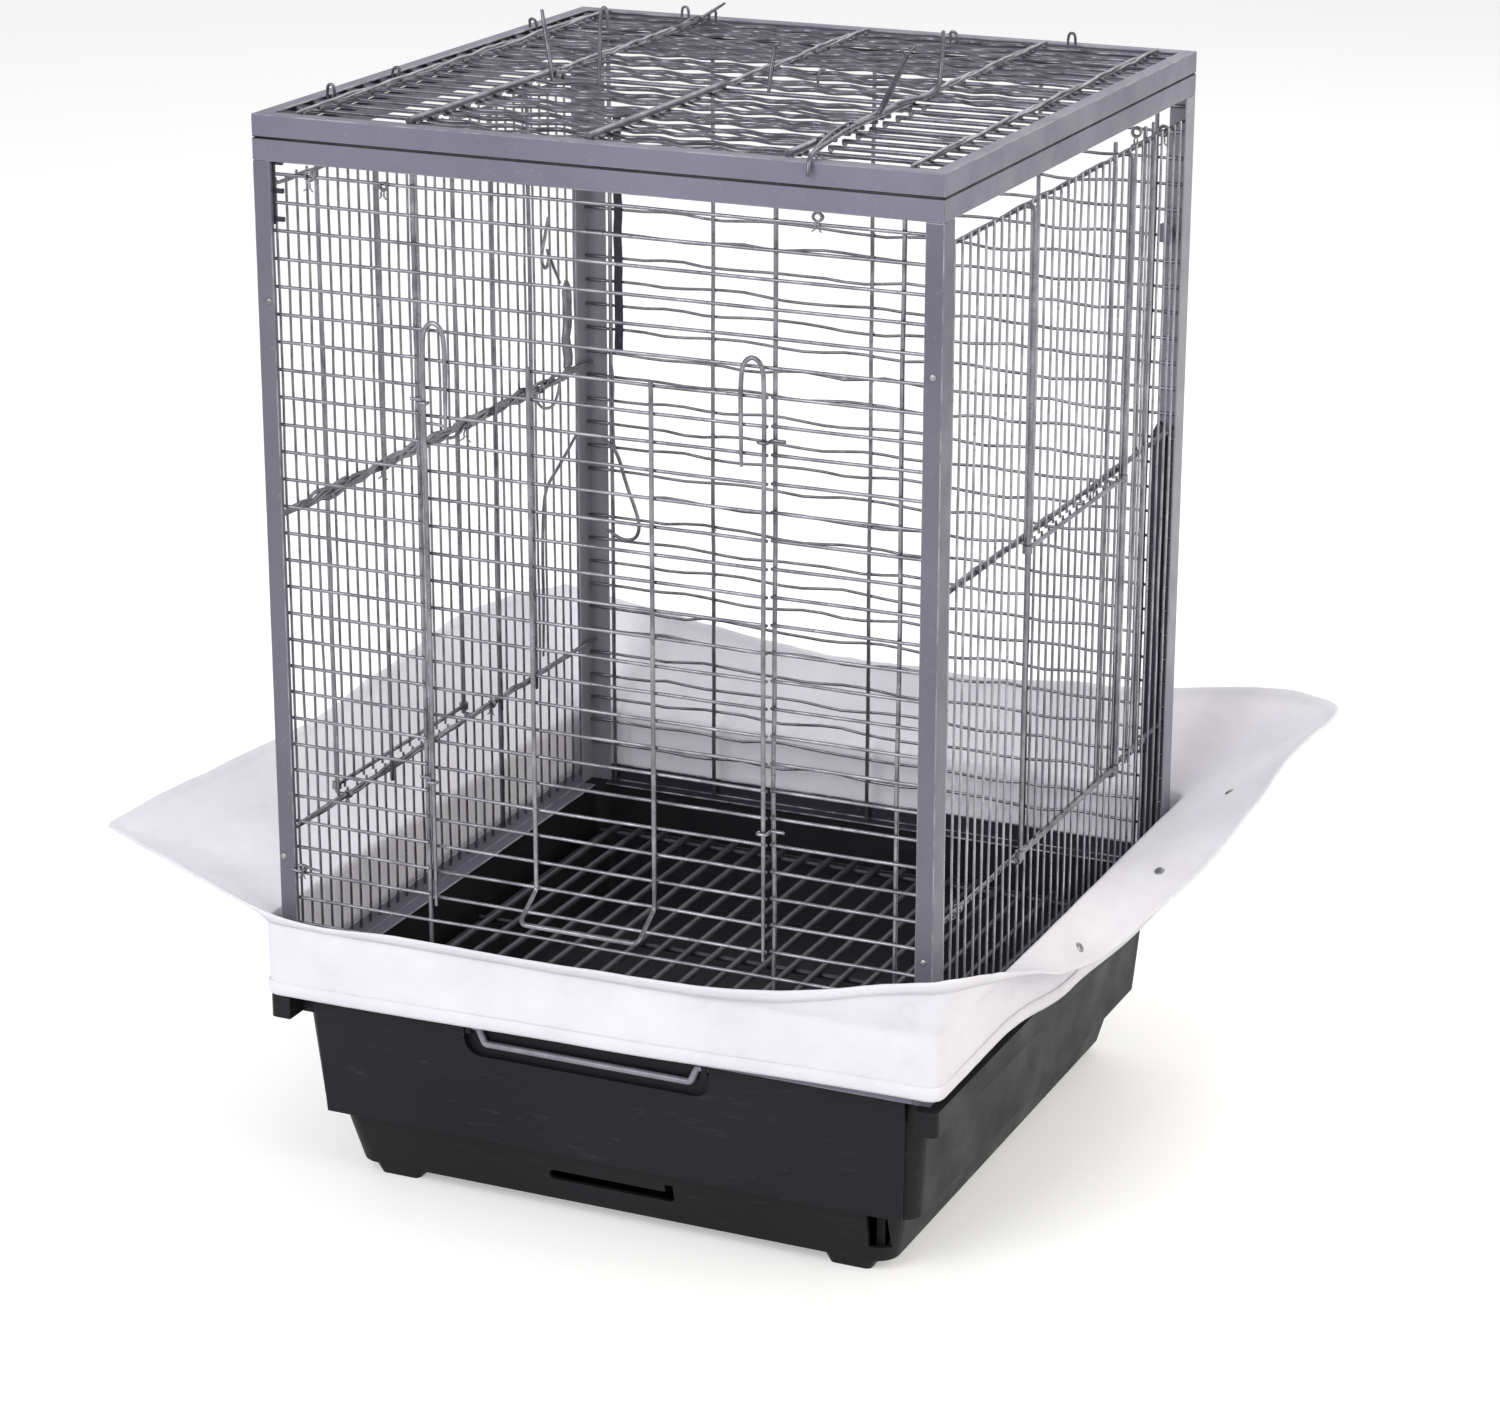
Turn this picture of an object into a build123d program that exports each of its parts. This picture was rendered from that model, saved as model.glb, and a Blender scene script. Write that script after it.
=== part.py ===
from build123d import *
from math import atan2, cos, hypot, sin
import os

# A square parrot cage: a folded steel frame with wire grilles and a hinged lid, on a moulded base
# with a pull-out drawer and a fabric seed skirt. Millimetres, +Z up, the front faces -Y.
# The origin is on the floor, under the middle of the whole object. The skirt reaches further
# to the left and to the back, so the cage's own centre line stands beside the origin.

os.makedirs("parts", exist_ok=True)

cage_x = 23.0
cage_y = -26.75
half = 232.5  # half the frame's side
height = 728.0  # floor to the lid's top
clear = 0.3  # gap between pieces that move past each other

# Base
foot_height = 9.0
foot_x = 166.0
foot_y = 190.0
ledge_z = 48.0  # where the lower storey meets the upper one
flange_z = 120.0
rim_z = 137.0  # top of the base, where the frame stands
flange_half = 240.0
lower_foot = (393.0, 412.0)
lower_top = (413.0, 426.0)
upper_foot = (435.0, 435.0)
upper_top = (449.0, 449.0)
lower_corner = 16.0
upper_corner = 14.0
base_wall = 3.0
rim_wall = 2.5
opening_half = 208.6  # drawer opening in the front
front_face_y = -223.1  # where the flange is cut back over the drawer
slot_z = 28.0
notch_x = 189.0

# Drawer
panel_foot_z = 48.6
panel_top_z = 136.0
panel_foot_half = 209.5
panel_top_half = 214.0
panel_foot_y = -218.0  # the leaning panel's back face
panel_top_y = -224.9
panel_sheet = 3.0
tray_half = 207.8
tray_front_y = -213.0
tray_back_y = 211.0
tray_top_z = 108.0
tray_wall = 2.5
grate_wire = 3.6
grate_pitch = 19.5
bail_x = -11.0
bail_half = 80.5
bail_bar_half = 74.5
bail_y = -224.6
bail_z = 132.0
bail_drop = 11.0
bail_wire = 4.6
recess_y = -221.5
running_gap = 0.05  # radial, between a pin and its bore

# Frame
sheet = 1.5
post_front = 12.0
post_side = 17.5
post_lip = 4.0
rail_height = 14.5
rail_flange = 12.0
lid_height = 15.0
lid_gap = 0.4
lid_flange = 10.0
lid_foot = height - lid_height + lid_gap
frame_top = height - lid_height
post_top = frame_top - rail_height

# Grilles
wire = 2.2
strut = 3.0
fine_wire = 1.8
rail_wire = 4.0
row_pitch = 18.0
top_row_z = 690.0
side_pitch = 13.1
side_rails_z = (250.0, 466.0, 681.0)
front_layer = -half + post_lip + wire / 2
back_layer = half - sheet - wire / 2
fine_layer = half - sheet - fine_wire / 2
rail_layer = fine_layer - fine_wire / 2 - rail_wire / 2
upright_layer = rail_layer - rail_wire / 2 - strut / 2

# Front door
door_low_row = 26  # rows are counted down from the top
door_top_row = 6
low_row = 28
jamb_left = -123.5
jamb_right = 122.0
far_strut = 204.5
rod_left = -115.0
rod_right = 118.0
door_layer = front_layer - wire - clear
rod_layer = door_layer - wire / 2 - strut / 2
cane_top_z = 602.0
cane_foot_z = 538.0
cane_width = 15.0
loop_left = -41.5
loop_right = 42.5
loop_reach = 25.0
guide_z = (303.0, 555.0)

# Feeder doors, one on each side, between the lower and the middle rail
feeder_span = 14  # gaps between the two guides
left_feeder_start = -11.5  # first guide, in gaps from the middle
right_feeder_start = -6.5
feeder_wire_layer = half - sheet + clear + fine_wire / 2
feeder_bar_layer = feeder_wire_layer + fine_wire / 2 + strut / 2
feeder_foot_z = 256.0
feeder_head_z = 462.0
eyelet = 6.4

# Lid
lid_wire = 3.0
lid_pitch = 21.5
lid_rows = 21
lid_first_y = 18.0 - half
lid_wire_z = height - sheet - lid_wire / 2
support_wire = 4.0
support_z = lid_wire_z + lid_wire / 2 + support_wire / 2
outer_supports = (-205.5, 207.5)
inner_supports = (-127.5, -4.5, 127.5)
hinge_x = (-131.5, 107.5)
hinge_axis_y = half + 3.6
hinge_axis_z = frame_top
hinge_pin = 3.0
knuckle = 6.0
knuckle_length = 8.0
lug_length = 4.0

# Roof door, in the lid's front half: it turns about one of the lid's wires
roof_row = 9
roof_axis_y = lid_first_y + roof_row * lid_pitch
roof_wire_z = lid_wire_z + clear
roof_rod_z = roof_wire_z + lid_wire / 2 + support_wire / 2
roof_jamb = 134.5
roof_wire_half = 129.5
roof_cane_y = roof_axis_y - 12.0
roof_front_y = 12.0 - half

# Seed skirt
hem_z = 137.3
fold_z = 190.0
cloth = 1.2
band_inner = flange_half + 0.3
fold_half = band_inner + cloth / 2
flap_cloth = 1.6


def level(z):
    """A level plane, centred on the cage."""
    return Plane(origin=(cage_x, cage_y, z))


def across(y):
    """An upright plane facing the front: local x is X, local y is Z."""
    return Plane(origin=(cage_x, cage_y + y, 0), x_dir=(1, 0, 0), z_dir=(0, -1, 0))


def beside(x):
    """An upright plane facing right: local x is Y, local y is Z."""
    return Plane(origin=(cage_x + x, cage_y, 0), x_dir=(0, 1, 0), z_dir=(1, 0, 0))


def steps(first, pitch, count):
    return [first + pitch * index for index in range(count)]


def wires_along_x(start, end, places, diameter):
    """Level wires from left to right at each (y, z)."""
    with BuildSketch(beside(start)) as ends:
        with Locations(*places):
            Circle(diameter / 2)
    extrude(ends.sketch, amount=end - start, clean=False)


def wires_along_y(start, end, places, diameter):
    """Level wires from front to back at each (x, z)."""
    with BuildSketch(across(start)) as ends:
        with Locations(*places):
            Circle(diameter / 2)
    extrude(ends.sketch, amount=start - end, clean=False)


def wires_upright(foot, top, places, diameter):
    """Upright wires at each (x, y)."""
    with BuildSketch(level(foot)) as ends:
        with Locations(*places):
            Circle(diameter / 2)
    extrude(ends.sketch, amount=top - foot, clean=False)


def bent_wire(points, bend, diameter):
    """One wire through points measured from the cage's centre line, with a bend at each corner."""
    placed = [(cage_x + x, cage_y + y, z) for x, y, z in points]
    with BuildLine() as path:
        FilletPolyline(*placed, radius=bend)
    with BuildSketch(Plane(origin=path.line @ 0, z_dir=path.line % 0)) as section:
        Circle(diameter / 2)
    sweep(section.sketch, path=path.line)


def save(piece, name):
    piece.part.label = name
    export_step(piece.part, "parts/" + name + ".step")


# BASE


def storey(foot_z, foot_size, top_z, top_size, corner, inset=0.0, mode=Mode.ADD):
    """One tapered storey of the moulded base, or the hollow inside it."""
    with BuildSketch(level(foot_z)) as foot:
        RectangleRounded(foot_size[0] - 2 * inset, foot_size[1] - 2 * inset, corner - inset)
    with BuildSketch(level(top_z)) as top:
        RectangleRounded(top_size[0] - 2 * inset, top_size[1] - 2 * inset, corner - inset)
    loft([foot.sketch, top.sketch], mode=mode)


# Two tapered storeys under a square flange. The front of the upper storey is open for the drawer,
# and the drawer slides on the ledge between the storeys.
with BuildPart() as base_housing:
    storey(foot_height, lower_foot, ledge_z, lower_top, lower_corner)
    storey(ledge_z, upper_foot, rim_z, upper_top, upper_corner)
    with BuildSketch(level(flange_z)):
        RectangleRounded(2 * flange_half, 2 * flange_half, 5)
    extrude(amount=rim_z - flange_z)
    floor_z = foot_height + base_wall
    sill_z = ledge_z + base_wall
    storey(floor_z, lower_foot, sill_z, lower_top, lower_corner, base_wall, Mode.SUBTRACT)
    storey(sill_z, upper_foot, rim_z, upper_top, upper_corner, base_wall, Mode.SUBTRACT)
    # The flange is a hollow moulding, open underneath
    groove_half = flange_half - rim_wall
    with BuildSketch(level(flange_z)):
        Rectangle(2 * groove_half, 2 * groove_half)
        Rectangle(upper_top[0] + 2, upper_top[1] + 2, mode=Mode.SUBTRACT)
        with Locations((0, -groove_half)):
            Rectangle(2 * groove_half, 24, mode=Mode.SUBTRACT)
    extrude(amount=rim_z - flange_z - rim_wall, mode=Mode.SUBTRACT)
    # Drawer opening, and the flange cut back to the front wall above it
    with BuildSketch(across(-flange_half - 1)):
        with Locations((0, sill_z)):
            Rectangle(2 * opening_half, 100, align=(Align.CENTER, Align.MIN))
    extrude(amount=-40, mode=Mode.SUBTRACT)
    with BuildSketch(across(-flange_half - 1)):
        with Locations((0, flange_z)):
            Rectangle(upper_top[0], 20, align=(Align.CENTER, Align.MIN))
    extrude(amount=-(flange_half + 1 + front_face_y), mode=Mode.SUBTRACT)
    # Finger slot with an upward notch at its right end, and the tall notch by the corner
    with BuildSketch(across(-lower_top[1] / 2 - 1)):
        with Locations((-1.5, slot_z)):
            SlotOverall(92, 7)
        with Locations((41, slot_z + 4)):
            Rectangle(6, 10)
        with Locations((notch_x, slot_z + 5)):
            Rectangle(14, 26)
    extrude(amount=-14, mode=Mode.SUBTRACT)
    # A tab stands behind the corner notch
    with BuildSketch(level(floor_z)):
        with Locations((notch_x - 1.5, -199.5)):
            Rectangle(6, 2)
    extrude(amount=ledge_z - floor_z - 4)
save(base_housing, "base_housing")

feet = {"front_left": (-1, -1), "front_right": (1, -1), "back_left": (-1, 1), "back_right": (1, 1)}
for corner_name, (side_x, side_y) in feet.items():
    with BuildPart() as foot:
        with BuildSketch(level(0)):
            with Locations((side_x * foot_x, side_y * foot_y)):
                RectangleRounded(29, 22, 4)
        with BuildSketch(level(foot_height)):
            with Locations((side_x * foot_x, side_y * foot_y)):
                RectangleRounded(37, 28, 5)
        loft()
    save(foot, "foot_" + corner_name)

# DRAWER

with BuildPart() as drawer_tray:
    with BuildSketch(level(sill_z + clear)):
        with Locations((0, (tray_back_y + tray_front_y) / 2)):
            RectangleRounded(2 * tray_half, tray_back_y - tray_front_y, 8)
    extrude(amount=tray_top_z - sill_z - clear)
    fillet(drawer_tray.edges().group_by(Axis.Z)[0], 3)
    offset(amount=-tray_wall, openings=drawer_tray.faces().sort_by(Axis.Z)[-1])
save(drawer_tray, "drawer_tray")

# A leaning panel stands in front of the base's cheeks, on a thick frame that fills the opening.
# Its shallow recess for the bail is open at the top.
with BuildPart() as drawer_front:
    with BuildSketch(level(panel_foot_z)):
        with Locations((0, panel_foot_y - panel_sheet / 2)):
            RectangleRounded(2 * panel_foot_half, panel_sheet, 1)
    with BuildSketch(level(panel_top_z)):
        with Locations((0, panel_top_y - panel_sheet / 2)):
            RectangleRounded(2 * panel_top_half, panel_sheet, 1)
    loft()
    with BuildSketch(beside(-tray_half)):
        with BuildLine():
            Polyline(
                (panel_foot_y - 1.5, sill_z + 1),
                (tray_front_y, sill_z + 1),
                (tray_front_y, tray_top_z + 6),
                (tray_front_y - 6, panel_top_z),
                (panel_top_y - 1.5, panel_top_z),
                close=True,
            )
        make_face()
    extrude(amount=2 * tray_half)
    with BuildSketch(across(-flange_half)):
        with Locations((bail_x, panel_top_z)):
            RectangleRounded(178, 48, 12)
    extrude(amount=-(flange_half + recess_y), mode=Mode.SUBTRACT)
    # Bosses at the recess's ends carry the bail
    for side in (-1, 1):
        with BuildSketch(beside(bail_x + side * (bail_half + 5) - 2)):
            with Locations((recess_y, bail_z)):
                Rectangle(6.5, 8, align=(Align.MAX, Align.CENTER))
            with Locations((bail_y, bail_z)):
                Circle(bail_wire / 2 + running_gap, mode=Mode.SUBTRACT)
        extrude(amount=4)
save(drawer_front, "drawer_front")

with BuildPart() as drawer_bail:
    bar_z = bail_z - bail_drop
    bent_wire(
        [
            (bail_x - bail_half - 7.5, bail_y, bail_z),
            (bail_x - bail_half + 1, bail_y, bail_z),
            (bail_x - bail_bar_half, bail_y, bar_z),
            (bail_x + bail_bar_half, bail_y, bar_z),
            (bail_x + bail_half - 1, bail_y, bail_z),
            (bail_x + bail_half + 7.5, bail_y, bail_z),
        ],
        2.8,
        bail_wire,
    )
save(drawer_bail, "drawer_bail")

# The grate rests on the tray's rim: cross bars, and the long bars on top of them
cross_z = tray_top_z + grate_wire / 2
with BuildPart() as grate_cross_bars:
    places = [(y, cross_z) for y in (-195, -1, 195)]
    wires_along_x(-tray_half, tray_half, places, grate_wire)
save(grate_cross_bars, "grate_cross_bars")

with BuildPart() as grate_bars:
    places = [(x, cross_z + grate_wire) for x in steps(-10 * grate_pitch, grate_pitch, 21)]
    wires_along_y(-204, 204, places, grate_wire)
save(grate_bars, "grate_bars")

# FRAME


def upright_angle(side_x, side_y, front_width, lip):
    """A corner post: one leg across the cage, with or without a lip, and one leg along it."""
    lip_points = [
        (front_width, 0),
        (front_width, lip),
        (front_width - sheet, lip),
        (front_width - sheet, sheet),
    ]
    plain_points = [(front_width, 0), (front_width, sheet)]
    leg = lip_points if lip else plain_points
    outline = [(0, 0), *leg, (sheet, sheet), (sheet, post_side), (0, post_side)]
    placed = [(side_x * (half - x), side_y * (half - y)) for x, y in outline]
    with BuildSketch(level(rim_z)) as section:
        with BuildLine():
            Polyline(*placed, close=True)
        make_face()
    extrude(section.sketch, amount=post_top - rim_z)


for corner_name, (side_x, side_y) in feet.items():
    with BuildPart() as post:
        if side_y < 0:
            upright_angle(side_x, side_y, post_front, post_lip)
        else:
            upright_angle(side_x, side_y, post_side, 0)
    save(post, "post_" + corner_name)


def quarter_plane(quarter, along):
    """An upright plane across one side of the square. Local x points inwards, local y is Z."""
    run = Vector(1, 0, 0).rotate(Axis.Z, 90 * quarter)
    inward = Vector(0, 1, 0).rotate(Axis.Z, 90 * quarter)
    return Plane(origin=Vector(cage_x, cage_y, 0) + run * along, x_dir=inward, z_dir=run)


def angle_rail(quarter, start, end, foot, flange_foot):
    """A folded rail along one side: an upright leg and a level flange."""
    with BuildSketch(quarter_plane(quarter, start)) as section:
        with Locations((-half, foot)):
            Rectangle(sheet, rail_height, align=(Align.MIN, Align.MIN))
        with Locations((-half, flange_foot)):
            Rectangle(rail_flange, sheet, align=(Align.MIN, Align.MIN))
    extrude(section.sketch, amount=end - start)


# Quarter turns from the front: front, right, back, left
sides = ("front", "right", "back", "left")
rail_ends = ((post_front, post_front), (post_side, post_side), (post_side, post_side), (post_side, post_side))
for quarter, side_name in enumerate(sides):
    # The top rails meet in mitres on the posts' ends
    with BuildPart() as top_rail:
        angle_rail(quarter, -half, half, post_top, frame_top - sheet)
        corner_plane = quarter_plane(quarter, 0)
        with BuildSketch(Plane(origin=level(0).origin, x_dir=corner_plane.z_dir, z_dir=(0, 0, 1))):
            with BuildLine():
                Polyline((-half, -half), (half, -half), (0, 0), close=True)
            make_face()
        extrude(amount=height, mode=Mode.INTERSECT)
    save(top_rail, "top_rail_" + side_name)
    # The bottom rails stand between the posts
    with BuildPart() as bottom_rail:
        start_inset, end_inset = rail_ends[quarter]
        angle_rail(quarter, start_inset - half, half - end_inset, rim_z, rim_z)
    save(bottom_rail, "bottom_rail_" + side_name)

# FRONT GRILLE


def row_z(row):
    return top_row_z - row * row_pitch


wire_end = half - sheet - 0.1
with BuildPart() as front_grille_rows:
    whole_rows = [*range(door_top_row), low_row - 1, low_row]
    wires_along_x(-wire_end, wire_end, [(front_layer, row_z(row)) for row in whole_rows], wire)
    side_rows = [(front_layer, row_z(row)) for row in range(door_top_row, door_low_row + 1)]
    wires_along_x(-wire_end, jamb_left + strut / 2, side_rows, wire)
    wires_along_x(jamb_right - strut / 2, wire_end, side_rows, wire)
save(front_grille_rows, "front_grille_rows")

strut_layer = front_layer + wire / 2 + strut / 2
with BuildPart() as front_grille_struts:
    places = [(x, strut_layer) for x in (jamb_left, jamb_right, far_strut)]
    wires_upright(rim_z + sheet, frame_top - sheet, places, strut)
save(front_grille_struts, "front_grille_struts")

# Wire clips beside the door: each comes off its jamb and hooks round the front of the door's rod
with BuildPart() as door_guides:
    hook = strut / 2 + 0.4 + wire / 2
    for rod_x, outward in ((rod_left, -1), (rod_right, 1)):
        for clip_z in guide_z:
            bent_wire(
                [
                    (rod_x + outward * (hook + 9), front_layer, clip_z),
                    (rod_x + outward * hook, front_layer, clip_z),
                    (rod_x + outward * hook, rod_layer - hook, clip_z),
                    (rod_x - outward * hook, rod_layer - hook, clip_z),
                    (rod_x - outward * hook, rod_layer + 0.4, clip_z),
                ],
                1.5,
                wire,
            )
save(door_guides, "door_guides")

# FRONT DOOR

with BuildPart() as front_door_rows:
    places = [(door_layer, row_z(row)) for row in range(door_top_row, door_low_row + 1)]
    wires_along_x(rod_left - 1.5, rod_right + 1.5, places, wire)
save(front_door_rows, "front_door_rows")

# Each side rod ends in a cane-shaped top, turned towards the middle
with BuildPart() as front_door_canes:
    for rod_x, inward in ((rod_left, 1), (rod_right, -1)):
        leg_x = rod_x + inward * cane_width
        bent_wire(
            [
                (rod_x, rod_layer, row_z(door_low_row) - 6),
                (rod_x, rod_layer, cane_top_z),
                (leg_x, rod_layer, cane_top_z),
                (leg_x, rod_layer, cane_foot_z),
            ],
            cane_width / 2 - 0.1,
            strut,
        )
save(front_door_canes, "front_door_canes")

# A long wire loop stiffens the door and bends out at the foot as its handle
with BuildPart() as front_door_handle:
    out_y = rod_layer - loop_reach
    bent_wire(
        [
            (loop_left, rod_layer, row_z(door_top_row) + 3),
            (loop_left, rod_layer, row_z(door_low_row) + 18),
            (loop_left, out_y, row_z(door_low_row) + 3),
            (loop_right, out_y, row_z(door_low_row) + 3),
            (loop_right, rod_layer, row_z(door_low_row) + 18),
            (loop_right, rod_layer, row_z(door_top_row) + 3),
        ],
        5,
        strut,
    )
save(front_door_handle, "front_door_handle")

# BACK GRILLE

with BuildPart() as back_grille_rows:
    wires_along_x(-wire_end, wire_end, [(back_layer, row_z(row)) for row in range(30)], wire)
save(back_grille_rows, "back_grille_rows")

with BuildPart() as back_grille_struts:
    back_struts = (-209.5, -126.5, -1.5, 122.5, 207.5)
    places = [(x, back_layer - wire / 2 - strut / 2) for x in back_struts]
    wires_upright(rim_z + sheet, frame_top - sheet, places, strut)
save(back_grille_struts, "back_grille_struts")

# A wire hook for a toy or a dish hangs on the back grille, in the left corner
with BuildPart() as hanging_hook:
    hook_layer = back_layer - wire / 2 - strut / 2
    hook_outline = [(-191, 453), (-190, 425), (-172, 392), (-160, 366), (-164, 346), (-180, 343), (-192, 355)]
    bent_wire([(x, hook_layer, z) for x, z in hook_outline], 7, strut)
save(hanging_hook, "hanging_hook")

# SIDE GRILLES


def side_grille(side, first_gap):
    """Fine upright wires. Between the feeder door's guides they stop at the two rails."""
    low_z = rim_z + rail_height - 6
    top_z = side_rails_z[2] + 3
    whole = []
    broken = []
    for index in range(-16, 17):
        inside = first_gap < index < first_gap + feeder_span
        (broken if inside else whole).append((side * fine_layer, index * side_pitch))
    wires_upright(low_z, top_z, whole, fine_wire)
    wires_upright(low_z, side_rails_z[0] + 3, broken, fine_wire)
    wires_upright(side_rails_z[1] - 3, top_z, broken, fine_wire)


def feeder_guides(side, first_gap):
    """Two upright rods, bent in at both ends to the lower and the upper rail."""
    for gap in (first_gap, first_gap + feeder_span):
        y = gap * side_pitch
        outer = side * feeder_bar_layer
        inner = side * (rail_layer + rail_wire / 2)
        low_z, _, top_z = side_rails_z
        points = [(inner, y, low_z), (outer, y, low_z), (outer, y, top_z), (inner, y, top_z)]
        bent_wire(points, 2.5, strut)


def feeder_door(side, first_gap):
    """Upright wires on two bars whose ends are eyelets round the guides."""
    low_y = first_gap * side_pitch
    high_y = (first_gap + feeder_span) * side_pitch
    guides = [(side * feeder_bar_layer, low_y), (side * feeder_bar_layer, high_y)]
    bar_ends = [(side * feeder_bar_layer, feeder_foot_z), (side * feeder_bar_layer, feeder_head_z)]
    wires_along_y(low_y, high_y, bar_ends, strut)
    for bar_z in (feeder_foot_z, feeder_head_z):
        wires_upright(bar_z - 2.5, bar_z + 2.5, guides, eyelet)
    with BuildSketch(level(feeder_foot_z - 10)) as bores:
        with Locations(*guides):
            Circle(strut / 2 + clear)
    extrude(bores.sketch, amount=feeder_head_z - feeder_foot_z + 20, mode=Mode.SUBTRACT)
    gaps = range(1, feeder_span + 1)
    places = [(side * feeder_wire_layer, (first_gap + gap - 0.5) * side_pitch) for gap in gaps]
    wires_upright(feeder_foot_z - 3, feeder_head_z + 3, places, fine_wire)


grilles = {
    "left": (-1, left_feeder_start, (-93.5, 69.5, 125.5)),
    "right": (1, right_feeder_start, (94.5, 154.5, 171.5)),
}
for side_name, (side, first_gap, struts) in grilles.items():
    with BuildPart() as grille_wires:
        side_grille(side, first_gap)
    save(grille_wires, side_name + "_grille_wires")
    with BuildPart() as grille_rails:
        rail_end = half - sheet
        wires_along_y(-rail_end, rail_end, [(side * rail_layer, z) for z in side_rails_z], rail_wire)
    save(grille_rails, side_name + "_grille_rails")
    with BuildPart() as grille_struts:
        places = [(side * upright_layer, y) for y in struts]
        wires_upright(side_rails_z[0] - 8, side_rails_z[2] + 8, places, strut)
    save(grille_struts, side_name + "_grille_struts")
    with BuildPart() as guides:
        feeder_guides(side, first_gap)
    save(guides, side_name + "_feeder_guides")
    with BuildPart() as feeder:
        feeder_door(side, first_gap)
    save(feeder, side_name + "_feeder_door")

# LID

with BuildPart() as lid_frame:
    with BuildSketch(level(lid_foot)):
        Rectangle(2 * half, 2 * half)
    extrude(amount=height - lid_foot)
    with BuildSketch(level(lid_foot)):
        Rectangle(2 * (half - sheet), 2 * (half - sheet))
    extrude(amount=height - sheet - lid_foot, mode=Mode.SUBTRACT)
    with BuildSketch(level(height - sheet)):
        Rectangle(2 * (half - lid_flange), 2 * (half - lid_flange))
    extrude(amount=sheet, mode=Mode.SUBTRACT)
save(lid_frame, "lid_frame")

with BuildPart() as lid_wires:
    lid_ys = steps(lid_first_y, lid_pitch, lid_rows)
    back_rows = [(y, lid_wire_z) for y in lid_ys[roof_row:]]
    short_rows = [(y, lid_wire_z) for y in lid_ys[:roof_row]]
    wires_along_x(-wire_end, wire_end, back_rows, lid_wire)
    wires_along_x(-wire_end, 1.5 - roof_jamb, short_rows, lid_wire)
    wires_along_x(roof_jamb - 1.5, wire_end, short_rows, lid_wire)
save(lid_wires, "lid_wires")

flange_edge = half - lid_flange
with BuildPart() as lid_supports:
    wires_along_y(-flange_edge, flange_edge, [(x, support_z) for x in outer_supports], support_wire)
    wires_along_y(roof_axis_y + 9, flange_edge, [(x, support_z) for x in inner_supports], support_wire)
    # Rods under the wires edge the roof opening
    jamb_z = lid_wire_z - lid_wire
    wires_along_y(-wire_end, roof_axis_y + 15, [(-roof_jamb, jamb_z), (roof_jamb, jamb_z)], lid_wire)
save(lid_supports, "lid_supports")

# Upright hooks that stay with the lid: one in the middle, and small ones along the edges
with BuildPart() as lid_hooks:
    hook_foot = lid_wire_z + lid_wire / 2
    hook_y = roof_axis_y + lid_wire
    bent_wire(
        [
            (28.5, hook_y, lid_wire_z - 6),
            (28.5, hook_y, lid_wire_z + 8),
            (29.5, hook_y + 7, hook_foot + 33),
            (37.0, hook_y + 7, hook_foot + 33),
        ],
        3,
        lid_wire,
    )
save(lid_hooks, "lid_hooks")

# Each knuckle is a short tube on a lug at the back rail
with BuildPart() as hinge_knuckles:
    for middle in hinge_x:
        with BuildSketch(beside(middle - knuckle_length / 2)) as section:
            with Locations((half, hinge_axis_z)):
                Rectangle(3.6, 8, align=(Align.MIN, Align.MAX))
            with Locations((hinge_axis_y, hinge_axis_z)):
                Circle(knuckle / 2)
                Circle(hinge_pin / 2 + running_gap, mode=Mode.SUBTRACT)
        extrude(section.sketch, amount=knuckle_length)
save(hinge_knuckles, "hinge_knuckles")

# The lid's lugs hold the pin on both sides of the knuckle
with BuildPart() as hinge_pins:
    lug_start = knuckle_length / 2 + clear
    for middle in hinge_x:
        for lug_side in (-1, 1):
            near = middle + lug_side * lug_start
            with BuildSketch(beside(near)) as section:
                with BuildLine():
                    Polyline(
                        (half, height - 4),
                        (half + 1.6, height - 4),
                        (hinge_axis_y + 2.5, hinge_axis_z),
                        (hinge_axis_y - 2.5, hinge_axis_z),
                        (half, hinge_axis_z + 1.4),
                        close=True,
                    )
                make_face()
                with Locations((hinge_axis_y, hinge_axis_z)):
                    Circle(2.5)
            extrude(section.sketch, amount=lug_side * lug_length)
        pin_half = lug_start + lug_length
        wires_along_x(middle - pin_half, middle + pin_half, [(hinge_axis_y, hinge_axis_z)], hinge_pin)
save(hinge_pins, "hinge_pins")

# ROOF DOOR

with BuildPart() as roof_door_wires:
    places = [(y, roof_wire_z) for y in lid_ys[:roof_row]]
    wires_along_x(-roof_wire_half, roof_wire_half, places, lid_wire)
save(roof_door_wires, "roof_door_wires")

with BuildPart() as roof_door_rods:
    places = [(x, roof_rod_z) for x in inner_supports]
    wires_along_y(roof_front_y, roof_axis_y + 0.5, places, support_wire)
save(roof_door_rods, "roof_door_rods")

# Eyelets beside the outer rods turn on the lid's wire
with BuildPart() as roof_door_eyelets:
    for side in (-1, 1):
        start = side * (inner_supports[2] - support_wire / 2) - (5 if side > 0 else 0)
        with BuildSketch(beside(start)) as section:
            with Locations((roof_axis_y, lid_wire_z)):
                Circle(4)
                Circle(lid_wire / 2 + 0.1, mode=Mode.SUBTRACT)
        extrude(section.sketch, amount=5)
save(roof_door_eyelets, "roof_door_eyelets")

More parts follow.
